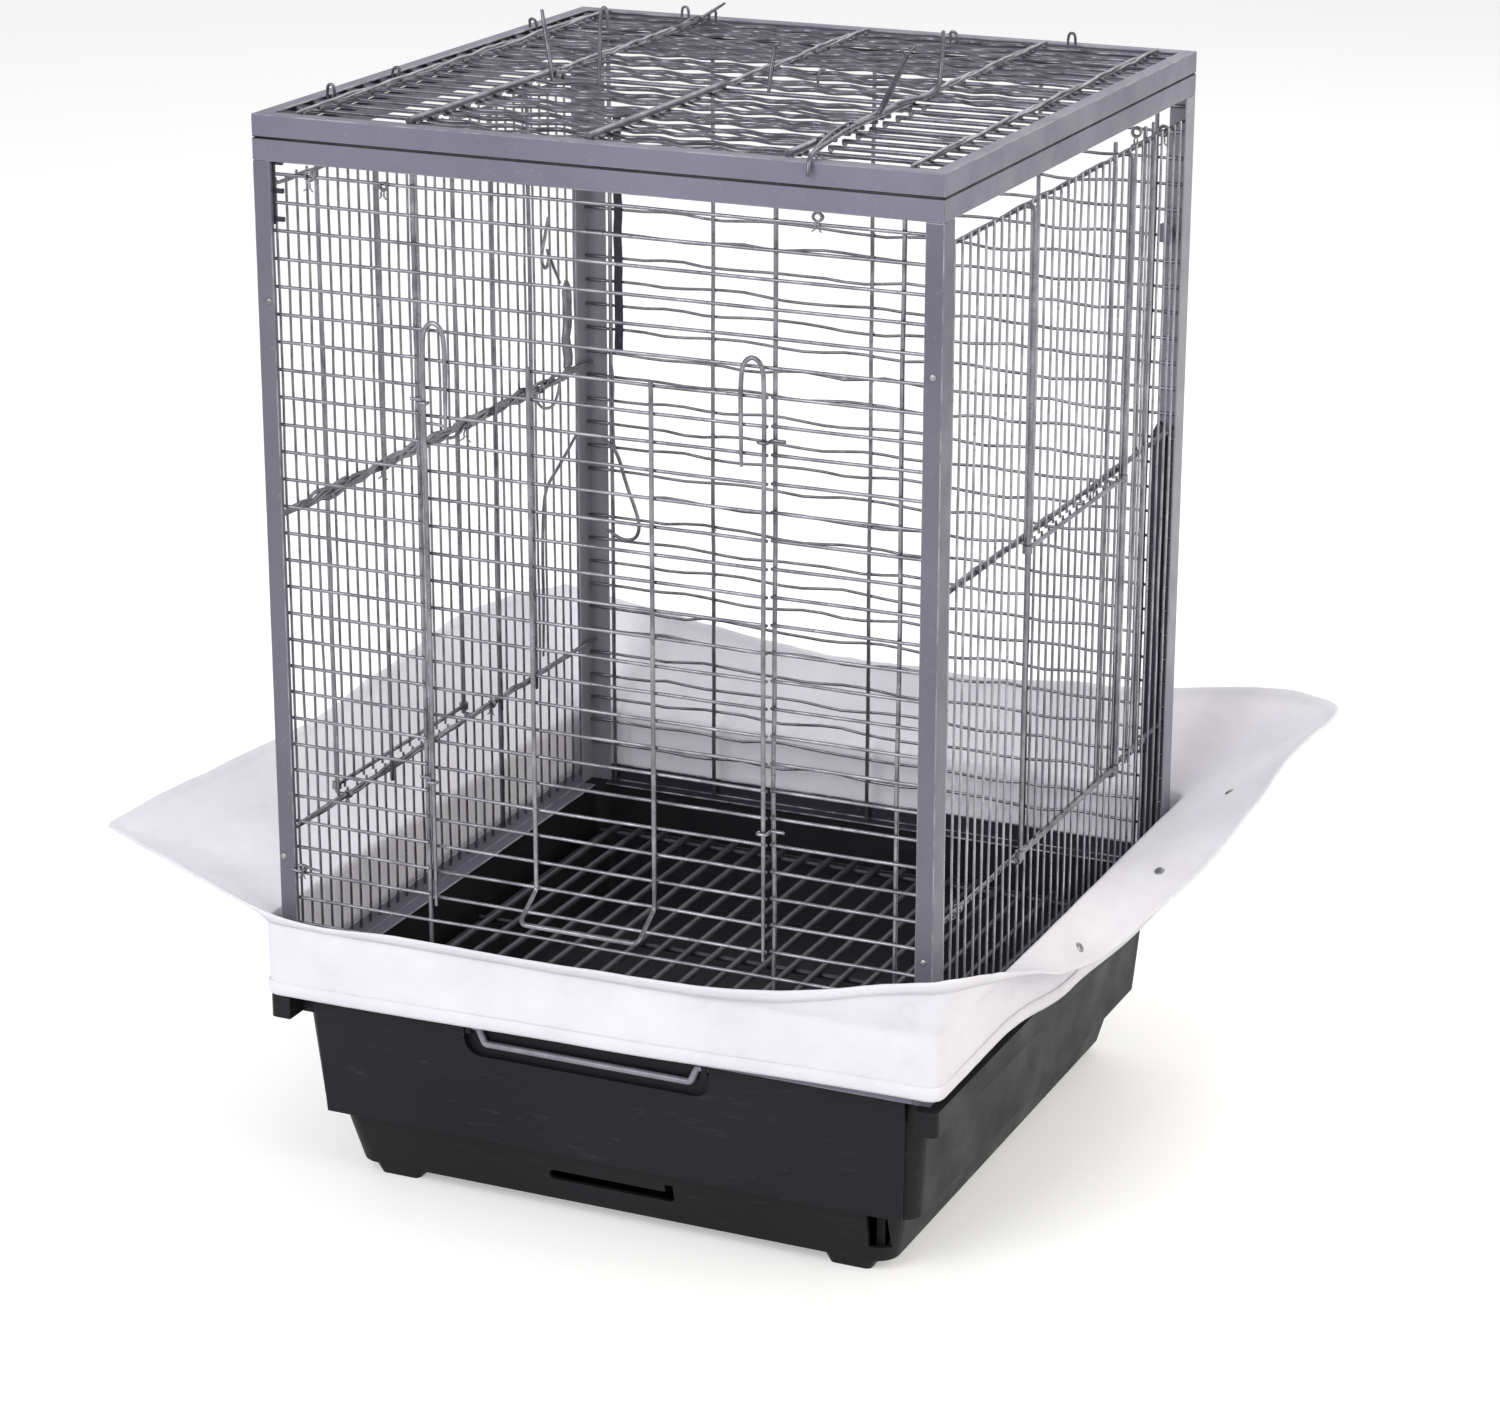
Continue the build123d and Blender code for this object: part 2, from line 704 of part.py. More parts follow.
# A hook reaches over the lid's front edge from the right rod
with BuildPart() as roof_door_latch:
    latch_z = height + clear + lid_wire / 2
    latch_x = inner_supports[2] + support_wire / 2 + lid_wire / 2
    bent_wire(
        [
            (latch_x, roof_front_y + 60, roof_rod_z),
            (latch_x, roof_front_y + 8, roof_rod_z),
            (latch_x + 3, roof_front_y, latch_z),
            (latch_x + 17, -half - 2.5, latch_z),
            (latch_x + 17, -half - 2.5, latch_z - 9),
        ],
        2.2,
        lid_wire,
    )
save(roof_door_latch, "roof_door_latch")

# Wires that stand up from the roof door, for lifting it and for hanging the cage's cover
with BuildPart() as roof_door_canes:
    on_wires = roof_wire_z + lid_wire
    cross_y = lid_ys[roof_row - 1]
    # Left: a straight wire that leans outwards
    bent_wire(
        [
            (-116.5, cross_y - 24, on_wires),
            (-116.5, cross_y - 8, on_wires),
            (-124.5, cross_y - 8, on_wires + 54),
        ],
        2,
        lid_wire,
    )
    # Left: a narrow cane
    bent_wire(
        [
            (-88.5, cross_y - 5, on_wires),
            (-88.5, roof_cane_y, on_wires),
            (-88.5, roof_cane_y, on_wires + 60),
            (-81.5, roof_cane_y, on_wires + 60),
            (-80.5, roof_cane_y, on_wires + 42),
        ],
        3,
        lid_wire,
    )
    # Right: two wires off the inner face of the rod
    rod_side = inner_supports[2] - support_wire / 2 - lid_wire / 2
    bent_wire(
        [
            (rod_side, roof_cane_y - 42, roof_rod_z),
            (rod_side, roof_cane_y - 5, roof_rod_z + 2),
            (rod_side - 3, roof_cane_y, roof_rod_z + 20),
            (rod_side + 1, roof_cane_y, roof_rod_z + 56),
        ],
        5,
        lid_wire,
    )
    bent_wire(
        [
            (rod_side, roof_cane_y - 75, roof_rod_z),
            (rod_side, roof_cane_y - 50, roof_rod_z),
            (rod_side, roof_cane_y - 49, roof_rod_z + 9),
            (rod_side + 15, roof_cane_y - 45, roof_rod_z + 52),
        ],
        2.5,
        lid_wire,
    )
save(roof_door_canes, "roof_door_canes")

# SEED SKIRT

with BuildPart() as skirt_band:
    with BuildSketch(level(hem_z)):
        Rectangle(2 * (band_inner + cloth), 2 * (band_inner + cloth))
        Rectangle(2 * band_inner, 2 * band_inner, mode=Mode.SUBTRACT)
    extrude(amount=fold_z - hem_z)
save(skirt_band, "skirt_band")


def skirt_flap(stations):
    """A sheet from the fold line (x, y) out to its free edge (x, y, z), station by station."""
    sections = []
    for (fold_x, fold_y), (tip_x, tip_y, tip_z) in stations:
        reach = hypot(tip_x - fold_x, tip_y - fold_y)
        rise = tip_z - fold_z
        slope = atan2(rise, reach)
        over = (-flap_cloth * sin(slope), flap_cloth * cos(slope))
        outward = Vector(tip_x - fold_x, tip_y - fold_y, 0) / reach
        upright = Plane(
            origin=(cage_x + fold_x, cage_y + fold_y, fold_z),
            x_dir=outward,
            z_dir=outward.cross(Vector(0, 0, 1)),
        )
        with BuildSketch(upright) as section:
            with BuildLine():
                Polyline((0, 0), (reach, rise), (reach + over[0], rise + over[1]), over, close=True)
            make_face()
        sections.append(section.sketch)
    loft(sections, ruled=True)


corner_front_left = ((-fold_half, -fold_half), (-375.5, -218.5, 230))
corner_back_left = ((-fold_half, fold_half), (-292.5, 312.5, 262))
corner_back_right = ((fold_half, fold_half), (329.5, 295.5, 258))
corner_front_right = ((fold_half, -fold_half), (250.5, -254.5, 236))
flaps = {
    "left": [
        corner_front_left,
        ((-fold_half, -32), (-322, -32, 254)),
        ((-fold_half, 107), (-317, 107, 266)),
        ((-fold_half, 217), (-317, 217, 268)),
        corner_back_left,
    ],
    "back": [
        corner_back_left,
        ((-88, fold_half), (-88, 297.5, 241)),
        ((30, fold_half), (30, 297.5, 238)),
        ((150, fold_half), (150, 292, 246)),
        corner_back_right,
    ],
    "right": [
        corner_back_right,
        ((fold_half, 107), (272.5, 107, 208)),
        ((fold_half, -25), (267.5, -25, 205)),
        corner_front_right,
    ],
    "front": [
        corner_front_right,
        ((127, -fold_half), (127, -247.5, 204)),
        ((0, -fold_half), (0, -247.5, 197)),
        ((-135, -fold_half), (-135, -246, 196)),
        ((-225, -fold_half), (-232, -245, 196)),
        corner_front_left,
    ],
}
for side_name, stations in flaps.items():
    with BuildPart() as flap:
        skirt_flap(stations)
    save(flap, "skirt_flap_" + side_name)
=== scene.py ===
import math
import random

import bmesh
import bpy
from mathutils import Matrix, Vector, noise


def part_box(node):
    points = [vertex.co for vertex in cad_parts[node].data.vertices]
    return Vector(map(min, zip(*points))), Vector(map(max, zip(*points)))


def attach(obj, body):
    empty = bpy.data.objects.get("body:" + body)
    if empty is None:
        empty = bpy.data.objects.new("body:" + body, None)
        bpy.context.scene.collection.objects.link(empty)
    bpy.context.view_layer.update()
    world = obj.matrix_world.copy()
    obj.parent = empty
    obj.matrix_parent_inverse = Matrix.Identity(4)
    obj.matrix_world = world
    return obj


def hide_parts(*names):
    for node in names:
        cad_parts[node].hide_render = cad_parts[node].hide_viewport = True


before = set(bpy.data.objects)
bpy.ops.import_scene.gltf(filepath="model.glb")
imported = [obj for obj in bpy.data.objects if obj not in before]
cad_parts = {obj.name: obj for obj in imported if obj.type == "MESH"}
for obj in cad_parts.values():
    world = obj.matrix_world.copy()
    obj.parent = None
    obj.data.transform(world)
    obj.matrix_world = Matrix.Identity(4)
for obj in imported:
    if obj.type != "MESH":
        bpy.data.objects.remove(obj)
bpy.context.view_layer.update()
mm = 0.001

lidLow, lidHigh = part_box("lid_frame")
centre = Vector(((lidLow.x + lidHigh.x) / 2, (lidLow.y + lidHigh.y) / 2, 0))  # the cage's own middle


def at(x, y, z):
    # a place in millimetres from the cage's middle, as metres in the frame
    return Vector((centre.x + x * mm, centre.y + y * mm, z * mm))


# camera, at the photograph's height and side
view = {
    "place": (1.1003, -2.4241, 1.1893),
    "yaw": 24.101,
    "pitch": 18.736,
    "roll": -0.058,
    "focal": 97.29,
    "sensor": 36,
}


def makeCamera():
    data = bpy.data.cameras.new("camera")
    data.lens = view["focal"]
    data.sensor_width = view["sensor"]
    data.sensor_fit = "HORIZONTAL"
    camera = bpy.data.objects.new("camera", data)
    bpy.context.scene.collection.objects.link(camera)
    yaw, pitch = math.radians(view["yaw"]), math.radians(view["pitch"])
    ahead = Vector((-math.sin(yaw) * math.cos(pitch), math.cos(yaw) * math.cos(pitch), -math.sin(pitch)))
    turn = ahead.to_track_quat("-Z", "Y").to_matrix().to_4x4()
    camera.matrix_world = Matrix.Translation(view["place"]) @ turn @ Matrix.Rotation(
        math.radians(-view["roll"]), 4, "Z")
    bpy.context.scene.camera = camera


makeCamera()
print("camera placed")


# materials
def tone(red, green, blue):
    # a colour as it looks on a screen, 0 to 255, made linear
    parts = [c / 255 for c in (red, green, blue)]
    return tuple(c / 12.92 if c <= 0.04045 else ((c + 0.055) / 1.055) ** 2.4 for c in parts) + (1,)


class Finish:
    # one material while its nodes are being put together
    def __init__(self, name):
        self.material = bpy.data.materials.new(name)
        self.material.use_nodes = True
        self.tree = self.material.node_tree
        self.shader = self.tree.nodes["Principled BSDF"]
        self.place = self.tree.nodes.new("ShaderNodeTexCoord").outputs["Object"]

    def set(self, **values):
        for name, value in values.items():
            self.shader.inputs[name.replace("_", " ")].default_value = value

    def link(self, source, target):
        self.tree.links.new(source, target)

    def stretched(self, scale):
        mapping = self.tree.nodes.new("ShaderNodeMapping")
        mapping.inputs["Scale"].default_value = scale
        self.link(self.place, mapping.inputs["Vector"])
        return mapping.outputs["Vector"]

    def noise(self, scale, detail=3, rough=0.5, along=None):
        node = self.tree.nodes.new("ShaderNodeTexNoise")
        node.inputs["Scale"].default_value = scale
        node.inputs["Detail"].default_value = detail
        node.inputs["Roughness"].default_value = rough
        self.link(along or self.place, node.inputs["Vector"])
        return node.outputs["Fac"]

    def ramp(self, source, stops):
        node = self.tree.nodes.new("ShaderNodeValToRGB")
        low, high = node.color_ramp.elements
        low.position, low.color = stops[0][0], stops[0][1]
        high.position, high.color = stops[-1][0], stops[-1][1]
        for position, colour in stops[1:-1]:
            node.color_ramp.elements.new(position).color = colour
        self.link(source, node.inputs["Fac"])
        return node.outputs["Color"]

    def spread(self, source, low, high, start=0.0, end=1.0):
        node = self.tree.nodes.new("ShaderNodeMapRange")
        for name, value in (("From Min", start), ("From Max", end), ("To Min", low), ("To Max", high)):
            node.inputs[name].default_value = value
        self.link(source, node.inputs["Value"])
        return node.outputs["Result"]

    def mix(self, share, first, second):
        node = self.tree.nodes.new("ShaderNodeMix")
        node.data_type = "RGBA"
        for socket, value in ((node.inputs[0], share), (node.inputs[6], first), (node.inputs[7], second)):
            if hasattr(value, "is_linked"):
                self.link(value, socket)
            else:
                socket.default_value = value
        return node.outputs[2]

    def maths(self, operation, first, second):
        node = self.tree.nodes.new("ShaderNodeMath")
        node.operation = operation
        for socket, value in zip(node.inputs, (first, second)):
            if hasattr(value, "is_linked"):
                self.link(value, socket)
            else:
                socket.default_value = value
        return node.outputs["Value"]

    def attribute(self, name):
        node = self.tree.nodes.new("ShaderNodeAttribute")
        node.attribute_name = name
        return node.outputs["Fac"]

    def bump(self, height, distance, strength=1.0, under=None):
        node = self.tree.nodes.new("ShaderNodeBump")
        node.inputs["Distance"].default_value = distance
        node.inputs["Strength"].default_value = strength
        self.link(height, node.inputs["Height"])
        if under:
            self.link(under, node.inputs["Normal"])
        return node.outputs["Normal"]

    def colour(self, source):
        self.link(source, self.shader.inputs["Base Color"])

    def roughness(self, source):
        self.link(source, self.shader.inputs["Roughness"])

    def normal(self, source):
        self.link(source, self.shader.inputs["Normal"])


def framePaint(name, dark, light):
    # blue-grey stove enamel with a faint orange peel, rubbed along the folded edges, with painted shade in the lid's
    # seam
    f = Finish(name)
    f.set(Metallic=0.15, IOR=1.45)
    cloud = f.ramp(f.noise(9, 4), [(0.3, dark), (0.7, light)])
    speck = f.spread(f.noise(260, 2), 0, 1, 0.66, 0.72)
    body = f.mix(f.maths("MULTIPLY", speck, 0.25), cloud, tone(140, 140, 152))
    rub = f.maths("MULTIPLY", f.attribute("worn"), f.spread(f.noise(60, 3), 0.15, 1, 0.42, 0.62))
    # painted shade along the lid's seam, in near-black, for the dark gap between lid and rails
    f.colour(f.mix(f.attribute("seamShade"), f.mix(rub, body, tone(152, 152, 160)), tone(27, 26, 31)))
    f.roughness(f.spread(f.noise(35, 3), 0.34, 0.5, 0.35, 0.65))
    peel = f.bump(f.noise(900, 2), 0.00006, 0.6)
    f.normal(f.bump(f.noise(24, 2), 0.0012, 0.12, under=peel))
    return f.material


def zincWire(name, dark, bright):
    # zinc-dipped wire, duller where it has been handled
    f = Finish(name)
    f.set(Metallic=0.85)
    dull = f.ramp(f.noise(48, 4, 0.6), [(0.32, dark), (0.68, bright)])
    spot = f.spread(f.noise(340, 2), 0, 0.5, 0.63, 0.72)
    f.colour(f.mix(spot, dull, tone(74, 72, 72)))
    f.roughness(f.spread(f.noise(110, 3), 0.24, 0.42, 0.35, 0.65))
    f.normal(f.bump(f.noise(700, 3), 0.00008, 0.5))
    return f.material


def hingeSteel():
    f = Finish("hingeSteel")
    f.set(Metallic=0.9)
    f.colour(f.ramp(f.noise(120, 4), [(0.35, tone(120, 119, 118)), (0.65, tone(160, 160, 162))]))
    f.roughness(f.spread(f.noise(200, 3), 0.28, 0.46))
    f.normal(f.bump(f.noise(900, 3), 0.00006, 0.5))
    return f.material


def mouldedPlastic(name, dark, light, scuff):
    # moulded plastic with a fine spark-eroded grain, paler where it has been rubbed
    f = Finish(name)
    f.set(Specular_IOR_Level=0.16)
    body = f.ramp(f.noise(7, 4, 0.55), [(0.3, dark), (0.7, light)])
    hair = f.noise(34, 5, 0.7, along=f.stretched((1, 1, 6)))
    marks = f.spread(hair, 0, 0.5, 0.6, 0.74)
    rub = f.maths("MULTIPLY", f.attribute("worn"), f.spread(f.noise(80, 3), 0, 0.7, 0.45, 0.65))
    f.colour(f.mix(rub, f.mix(marks, body, scuff), scuff))
    f.roughness(f.spread(f.noise(28, 4), 0.38, 0.56, 0.3, 0.7))
    f.normal(f.bump(f.noise(1300, 2), 0.00005, 0.7, under=f.bump(f.noise(11, 2), 0.002, 0.08)))
    return f.material


def grateCoating():
    f = Finish("grateCoating")
    f.set(Specular_IOR_Level=0.35)
    f.colour(f.ramp(f.noise(40, 3), [(0.35, tone(46, 45, 50)), (0.65, tone(66, 64, 71))]))
    f.roughness(f.spread(f.noise(90, 3), 0.32, 0.5))
    f.normal(f.bump(f.noise(420, 3), 0.00012, 0.5))
    return f.material


def bailPaint():
    f = Finish("bailPaint")
    f.set(Metallic=0.2)
    f.colour(f.ramp(f.noise(60, 4), [(0.3, tone(118, 118, 128)), (0.7, tone(146, 146, 156))]))
    f.roughness(f.spread(f.noise(110, 3), 0.3, 0.46))
    f.normal(f.bump(f.noise(600, 3), 0.0001, 0.5))
    return f.material


def skirtCloth():
    # plain-woven coated nylon: the weave follows the cloth's own map
    f = Finish("skirtCloth")
    f.set(Specular_IOR_Level=0.25, Sheen_Weight=0.25, Sheen_Roughness=0.5, Subsurface_Weight=0.12,
          Subsurface_Scale=0.01)
    f.shader.inputs["Subsurface Radius"].default_value = (1.0, 0.9, 1.0)
    uv = f.tree.nodes.new("ShaderNodeUVMap")
    uv.uv_map = "weave"
    threads = []
    for direction in ("X", "Y"):
        wave = f.tree.nodes.new("ShaderNodeTexWave")
        wave.bands_direction = direction
        wave.wave_profile = "SIN"
        wave.inputs["Scale"].default_value = 320
        wave.inputs["Distortion"].default_value = 0.4
        f.link(uv.outputs["UV"], wave.inputs["Vector"])
        threads.append(wave.outputs["Fac"])
    weave = f.maths("MAXIMUM", threads[0], threads[1])
    soil = f.ramp(f.noise(11, 5, 0.6), [(0.3, tone(226, 223, 234)), (0.62, tone(240, 239, 247))])
    smudge = f.spread(f.noise(26, 5, 0.65), 0, 0.35, 0.6, 0.78)
    f.colour(f.mix(smudge, soil, tone(204, 200, 206)))
    f.roughness(f.spread(weave, 0.62, 0.78))
    creases = f.bump(f.noise(38, 4, 0.6), 0.0016, 0.35)
    f.normal(f.bump(weave, 0.00012, 0.6, under=creases))
    return f.material


finishes = {
    "frame_paint": framePaint("framePaint", tone(106, 105, 121), tone(120, 119, 136)),
    "cage_wire": zincWire("cageWire", tone(100, 99, 106), tone(152, 151, 158)),
    "hinge_steel": hingeSteel(),
    "base_plastic": mouldedPlastic("basePlastic", tone(22, 22, 25), tone(30, 30, 33), tone(62, 62, 64)),
    "foot_plastic": mouldedPlastic("footPlastic", tone(20, 20, 23), tone(28, 28, 31), tone(60, 60, 62)),
    "drawer_plastic": mouldedPlastic("drawerPlastic", tone(24, 23, 28), tone(32, 31, 36), tone(66, 66, 70)),
    "grate_coating": grateCoating(),
    "bail_paint": bailPaint(),
    "skirt_cloth": skirtCloth(),
}
# copies of the frame paint for the posts: darker on the front posts as painted shade, paler on the back posts as
# painted light
frontPostShaded = framePaint("frontPostShaded", tone(95, 94, 106), tone(107, 106, 119))
backPostLit = framePaint("backPostLit", tone(132, 131, 142), tone(148, 147, 158))
# a dark copy of the frame paint: painted shade on the back and right bottom rails; the brackets and strips are drawn
# in it too
darkPaintAndShade = framePaint("darkPaintAndShade", tone(38, 37, 48), tone(52, 51, 64))
# a paler copy of the drawer plastic for the tray: painted light inside the drawer
trayPlasticLit = mouldedPlastic("trayPlasticLit", tone(40, 38, 43), tone(52, 50, 55), tone(84, 82, 86))
# a paler copy of the wire finish: painted light on the right grille's wires; the jamb strip is drawn in it too
paleStripAndLitWire = zincWire("paleStripAndLitWire", tone(128, 127, 134), tone(178, 177, 184))
# a darker copy of the wire finish: painted shade on the wires of the lid and roof door; the left strut strip is drawn
# in it too
darkStripAndShadedWire = zincWire("darkStripAndShadedWire", tone(82, 81, 90), tone(124, 123, 132))
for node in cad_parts.values():
    node.data.materials[0] = finishes[node.data.materials[0].name]
print("materials made")


# putting pieces on their bodies
def addPiece(name, mesh, body, slot, stands=()):
    piece = bpy.data.objects.new(name, mesh)
    bpy.context.scene.collection.objects.link(piece)
    if not mesh.materials:
        mesh.materials.append(finishes[slot])
    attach(piece, body)
    if stands:
        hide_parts(*stands)
    return piece


def meshFrom(bm, name, sharpAngle=35):
    mesh = bpy.data.meshes.new(name)
    bm.to_mesh(mesh)
    bm.free()
    mesh.polygons.foreach_set("use_smooth", [True] * len(mesh.polygons))
    mesh.set_sharp_from_angle(angle=math.radians(sharpAngle))
    return mesh


# folded sheet and mouldings: the frame's own shapes with their edges eased
def easedCopy(node, name, body, slot, ease, sharp=28, segments=2, finish=None, seam=None):
    bm = bmesh.new()
    bm.from_mesh(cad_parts[node].data)
    bmesh.ops.remove_doubles(bm, verts=bm.verts, dist=0.004 * mm)
    bmesh.ops.dissolve_limit(bm, angle_limit=math.radians(0.5), verts=bm.verts, edges=bm.edges)
    worn = bm.loops.layers.float.new("worn")
    corners = [e for e in bm.edges if e.is_manifold and e.calc_face_angle(0) > math.radians(sharp)]
    made = bmesh.ops.bevel(bm, geom=corners, offset=ease * mm, offset_type="OFFSET", segments=segments,
                           profile=0.5, affect="EDGES", clamp_overlap=True, material=-1)
    for face in made["faces"]:
        for loop in face.loops:
            loop[worn] = 1
    # faces at the lid's seam take painted shade, standing in for the dark gap between lid and rails
    if seam:
        seamShade = bm.loops.layers.float.new("seamShade")
        for face in bm.faces:
            if abs(face.calc_center_median().z - seam) < 1.3 * mm:
                for loop in face.loops:
                    loop[seamShade] = 1
    piece = addPiece(name, meshFrom(bm, name), body, slot, stands=[node])
    if finish:
        piece.data.materials[0] = finish
    weighted = piece.modifiers.new("weighted", "WEIGHTED_NORMAL")
    weighted.keep_sharp = True
    return piece


housing = {"ease": 0.9, "segments": 2}
feet = {"ease": 0.8, "names": ("front_left", "front_right", "back_left", "back_right")}
drawer = {"trayEase": 0.6, "frontEase": 0.8}
steel = {"ease": 0.7, "sides": ("front", "right", "back", "left"), "railEase": 1.1, "lidEase": 1.1,
         "seam": (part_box("lid_frame")[0].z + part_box("top_rail_front")[1].z) / 2}

easedCopy("base_housing", "baseHousing", "cage", "base_plastic", housing["ease"])
for foot in feet["names"]:
    easedCopy("foot_" + foot, "foot." + foot, "cage", "foot_plastic", feet["ease"])
# the tray takes the paler copy as painted light
easedCopy("drawer_tray", "drawerTray", "drawer", "drawer_plastic", drawer["trayEase"], finish=trayPlasticLit)
easedCopy("drawer_front", "drawerFront", "drawer", "drawer_plastic", drawer["frontEase"])
for corner in feet["names"]:
    # front posts take the painted-shade copy, back posts the painted-light copy
    easedCopy("post_" + corner, "post." + corner, "cage", "frame_paint", steel["ease"],
              finish=frontPostShaded if "front" in corner else backPostLit)
for side in steel["sides"]:
    easedCopy("top_rail_" + side, "topRail." + side, "cage", "frame_paint", steel["railEase"],
              seam=steel["seam"])
    # the back and right bottom rails take the dark copy as painted shade
    easedCopy("bottom_rail_" + side, "bottomRail." + side, "cage", "frame_paint", steel["ease"],
              finish=darkPaintAndShade if side in ("back", "right") else None)
easedCopy("lid_frame", "lidFrame", "lid", "frame_paint", steel["lidEase"], seam=steel["seam"])
print("base, drawer and frame eased")


# wires: each straight wire of a node is drawn again with the small waves that real wire keeps
def wiresOf(node):
    # the two ends and the radius of every separate wire, read from the frame
    bm = bmesh.new()
    bm.from_mesh(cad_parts[node].data)
    bmesh.ops.remove_doubles(bm, verts=bm.verts, dist=0.002 * mm)
    bm.verts.ensure_lookup_table()
    seen, wires = set(), []
    for start in bm.verts:
        if start in seen:
            continue
        seen.add(start)
        island, pending = [start], [start]
        while pending:
            for edge in pending.pop().link_edges:
                for vert in edge.verts:
                    if vert not in seen:
                        seen.add(vert)
                        island.append(vert)
                        pending.append(vert)
        low = Vector([min(v.co[i] for v in island) for i in range(3)])
        high = Vector([max(v.co[i] for v in island) for i in range(3)])
        size = high - low
        axis = max(range(3), key=lambda i: size[i])
        middle = (low + high) / 2
        first, last = middle.copy(), middle.copy()
        first[axis], last[axis] = low[axis], high[axis]
        wires.append((first, last, axis, size[(axis + 1) % 3] / 2))
    bm.free()
    return wires


def tubes(name, routes, sides=3, smooth=False):
    # round wire along each route; a route is its points and its radius
    curve = bpy.data.curves.new(name, "CURVE")
    curve.dimensions = "3D"
    curve.bevel_depth = 1
    curve.bevel_resolution = sides
    curve.use_fill_caps = True
    curve.resolution_u = 6
    for points, radius in routes:
        spline = curve.splines.new("NURBS" if smooth else "POLY")
        spline.points.add(len(points) - 1)
        for i, (point, place) in enumerate(zip(spline.points, points)):
            point.co = (*place, 1)
            point.radius = radius * (0.72 if i in (0, len(points) - 1) else 1)
        if smooth:
            spline.order_u = 3
            spline.use_endpoint_u = True
    holder = bpy.data.objects.new(name, curve)
    mesh = bpy.data.meshes.new_from_object(holder)
    bpy.data.objects.remove(holder)
    bpy.data.curves.remove(curve)
    mesh.name = name
    mesh.polygons.foreach_set("use_smooth", [True] * len(mesh.polygons))
    mesh.set_sharp_from_angle(angle=math.radians(55))
    return mesh


beats = {  # wires that swing to and fro: how far, over what length, and what holds them
    "lid_wires": (3.3, 34, "lid_supports"),
    "roof_door_wires": (3.3, 34, "roof_door_rods"),
    "back_grille_rows": (1.5, 96, "back_grille_struts"),
    "reach": 190,  # millimetres from the middle, beyond which they lie straight
}


def waved(first, last, axis, radius, wave, across, seed, step=14, beat=0, period=36, held=()):
    # a wire that wanders by up to wave millimetres along the axis named across, and swings by beat between
    # the places where it is held
    if beat:
        step = period / 6
    length = (last - first).length
    count = max(2, round(length / (step * mm)))
    ends = 0.6 * radius
    points = [first.copy()]
    lean = first.copy()
    lean[axis] += ends
    points.append(lean)
    for i in range(1, count):
        t = i / count
        point = first.lerp(last, t)
        calm = min(1, 6 * t, 6 * (1 - t))  # the ends are welded, so they stay in place
        slow = noise.noise(Vector((seed * 7.31, 3.2 * t * length / 0.3, 0.5)))
        quick = noise.noise(Vector((seed * 3.17, 9.5 * t * length / 0.3, 4.5)))
        calm *= min([1] + [abs(point[axis] - place) / (9 * mm) for place in held])
        swing = math.sin(math.tau * t * length / (period * mm) + math.pi * seed + 2.5 * slow)
        inner = max(0, min(1, (beats["reach"] * mm - abs(point[axis] - centre[axis])) / (18 * mm)))
        point[across] += calm * mm * (wave * (slow + 0.45 * quick) + beat * swing * inner)
        points.append(point)
    lean = last.copy()
    lean[axis] -= ends
    points += [lean, last.copy()]
    return points, radius


def welds(pairs):
    # a small blob of weld metal wherever a wire of one node lies on a wire of another
    spots = []
    for one, other in pairs:
        for a in wiresOf(one):
            for b in wiresOf(other):
                if a[2] == b[2]:
                    continue
                rest = 3 - a[2] - b[2]
                gap = abs(a[0][rest] - b[0][rest])
                crossing = Vector((0, 0, 0))
                crossing[a[2]], crossing[b[2]] = b[0][a[2]], a[0][b[2]]
                crossing[rest] = (a[0][rest] + b[0][rest]) / 2
                reach = 2 * mm
                inA = a[0][a[2]] - reach < crossing[a[2]] < a[1][a[2]] + reach
                inB = b[0][b[2]] - reach < crossing[b[2]] < b[1][b[2]] + reach
                if inA and inB and gap < a[3] + b[3] + 0.4 * mm:
                    spots.append((crossing, min(a[3], b[3])))
    return spots


def weldPiece(name, pairs, body):
    bm = bmesh.new()
    for spot, radius in welds(pairs):
        bmesh.ops.create_icosphere(bm, subdivisions=1, radius=1.35 * radius, matrix=Matrix.Translation(spot))
    return addPiece(name, meshFrom(bm, name, 180), body, "cage_wire")


# node, piece, body, slot, wave in mm, axis that the wave goes along
straightWires = [
    ("front_grille_rows", "frontGrilleRows", "cage", "cage_wire", 0.5, 2),
    ("front_grille_struts", "frontGrilleStruts", "cage", "cage_wire", 0.6, 0),
    ("back_grille_rows", "backGrilleRows", "cage", "cage_wire", 2.2, 2),
    ("back_grille_struts", "backGrilleStruts", "cage", "cage_wire", 0.8, 0),
    ("left_grille_wires", "leftGrilleWires", "cage", "cage_wire", 1.6, 1),
    ("left_grille_struts", "leftGrilleStruts", "cage", "cage_wire", 1.2, 1),
    ("right_grille_wires", "rightGrilleWires", "cage", "cage_wire", 1.6, 1),
    ("right_grille_struts", "rightGrilleStruts", "cage", "cage_wire", 1.2, 1),
    ("front_door_rows", "frontDoorRows", "front_door", "cage_wire", 0.6, 2),
    ("lid_wires", "lidWires", "lid", "cage_wire", 3, 1),
    ("roof_door_wires", "roofDoorWires", "roof_door", "cage_wire", 3, 1),
    ("roof_door_rods", "roofDoorRods", "roof_door", "cage_wire", 0.6, 0),
    ("grate_bars", "grateBars", "drawer", "grate_coating", 0.5, 0),
    ("grate_cross_bars", "grateCrossBars", "drawer", "grate_coating", 0.2, 1),
]
doorLow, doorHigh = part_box("roof_door_rods")


def nearDoor(first, last):
    # true for a lid wire so near the roof door that the door's rods would swing into it
    room = 15 * mm
    return (doorLow.y - room < first.y < doorHigh.y + room and first.x < doorHigh.x + room
            and last.x > doorLow.x - room)


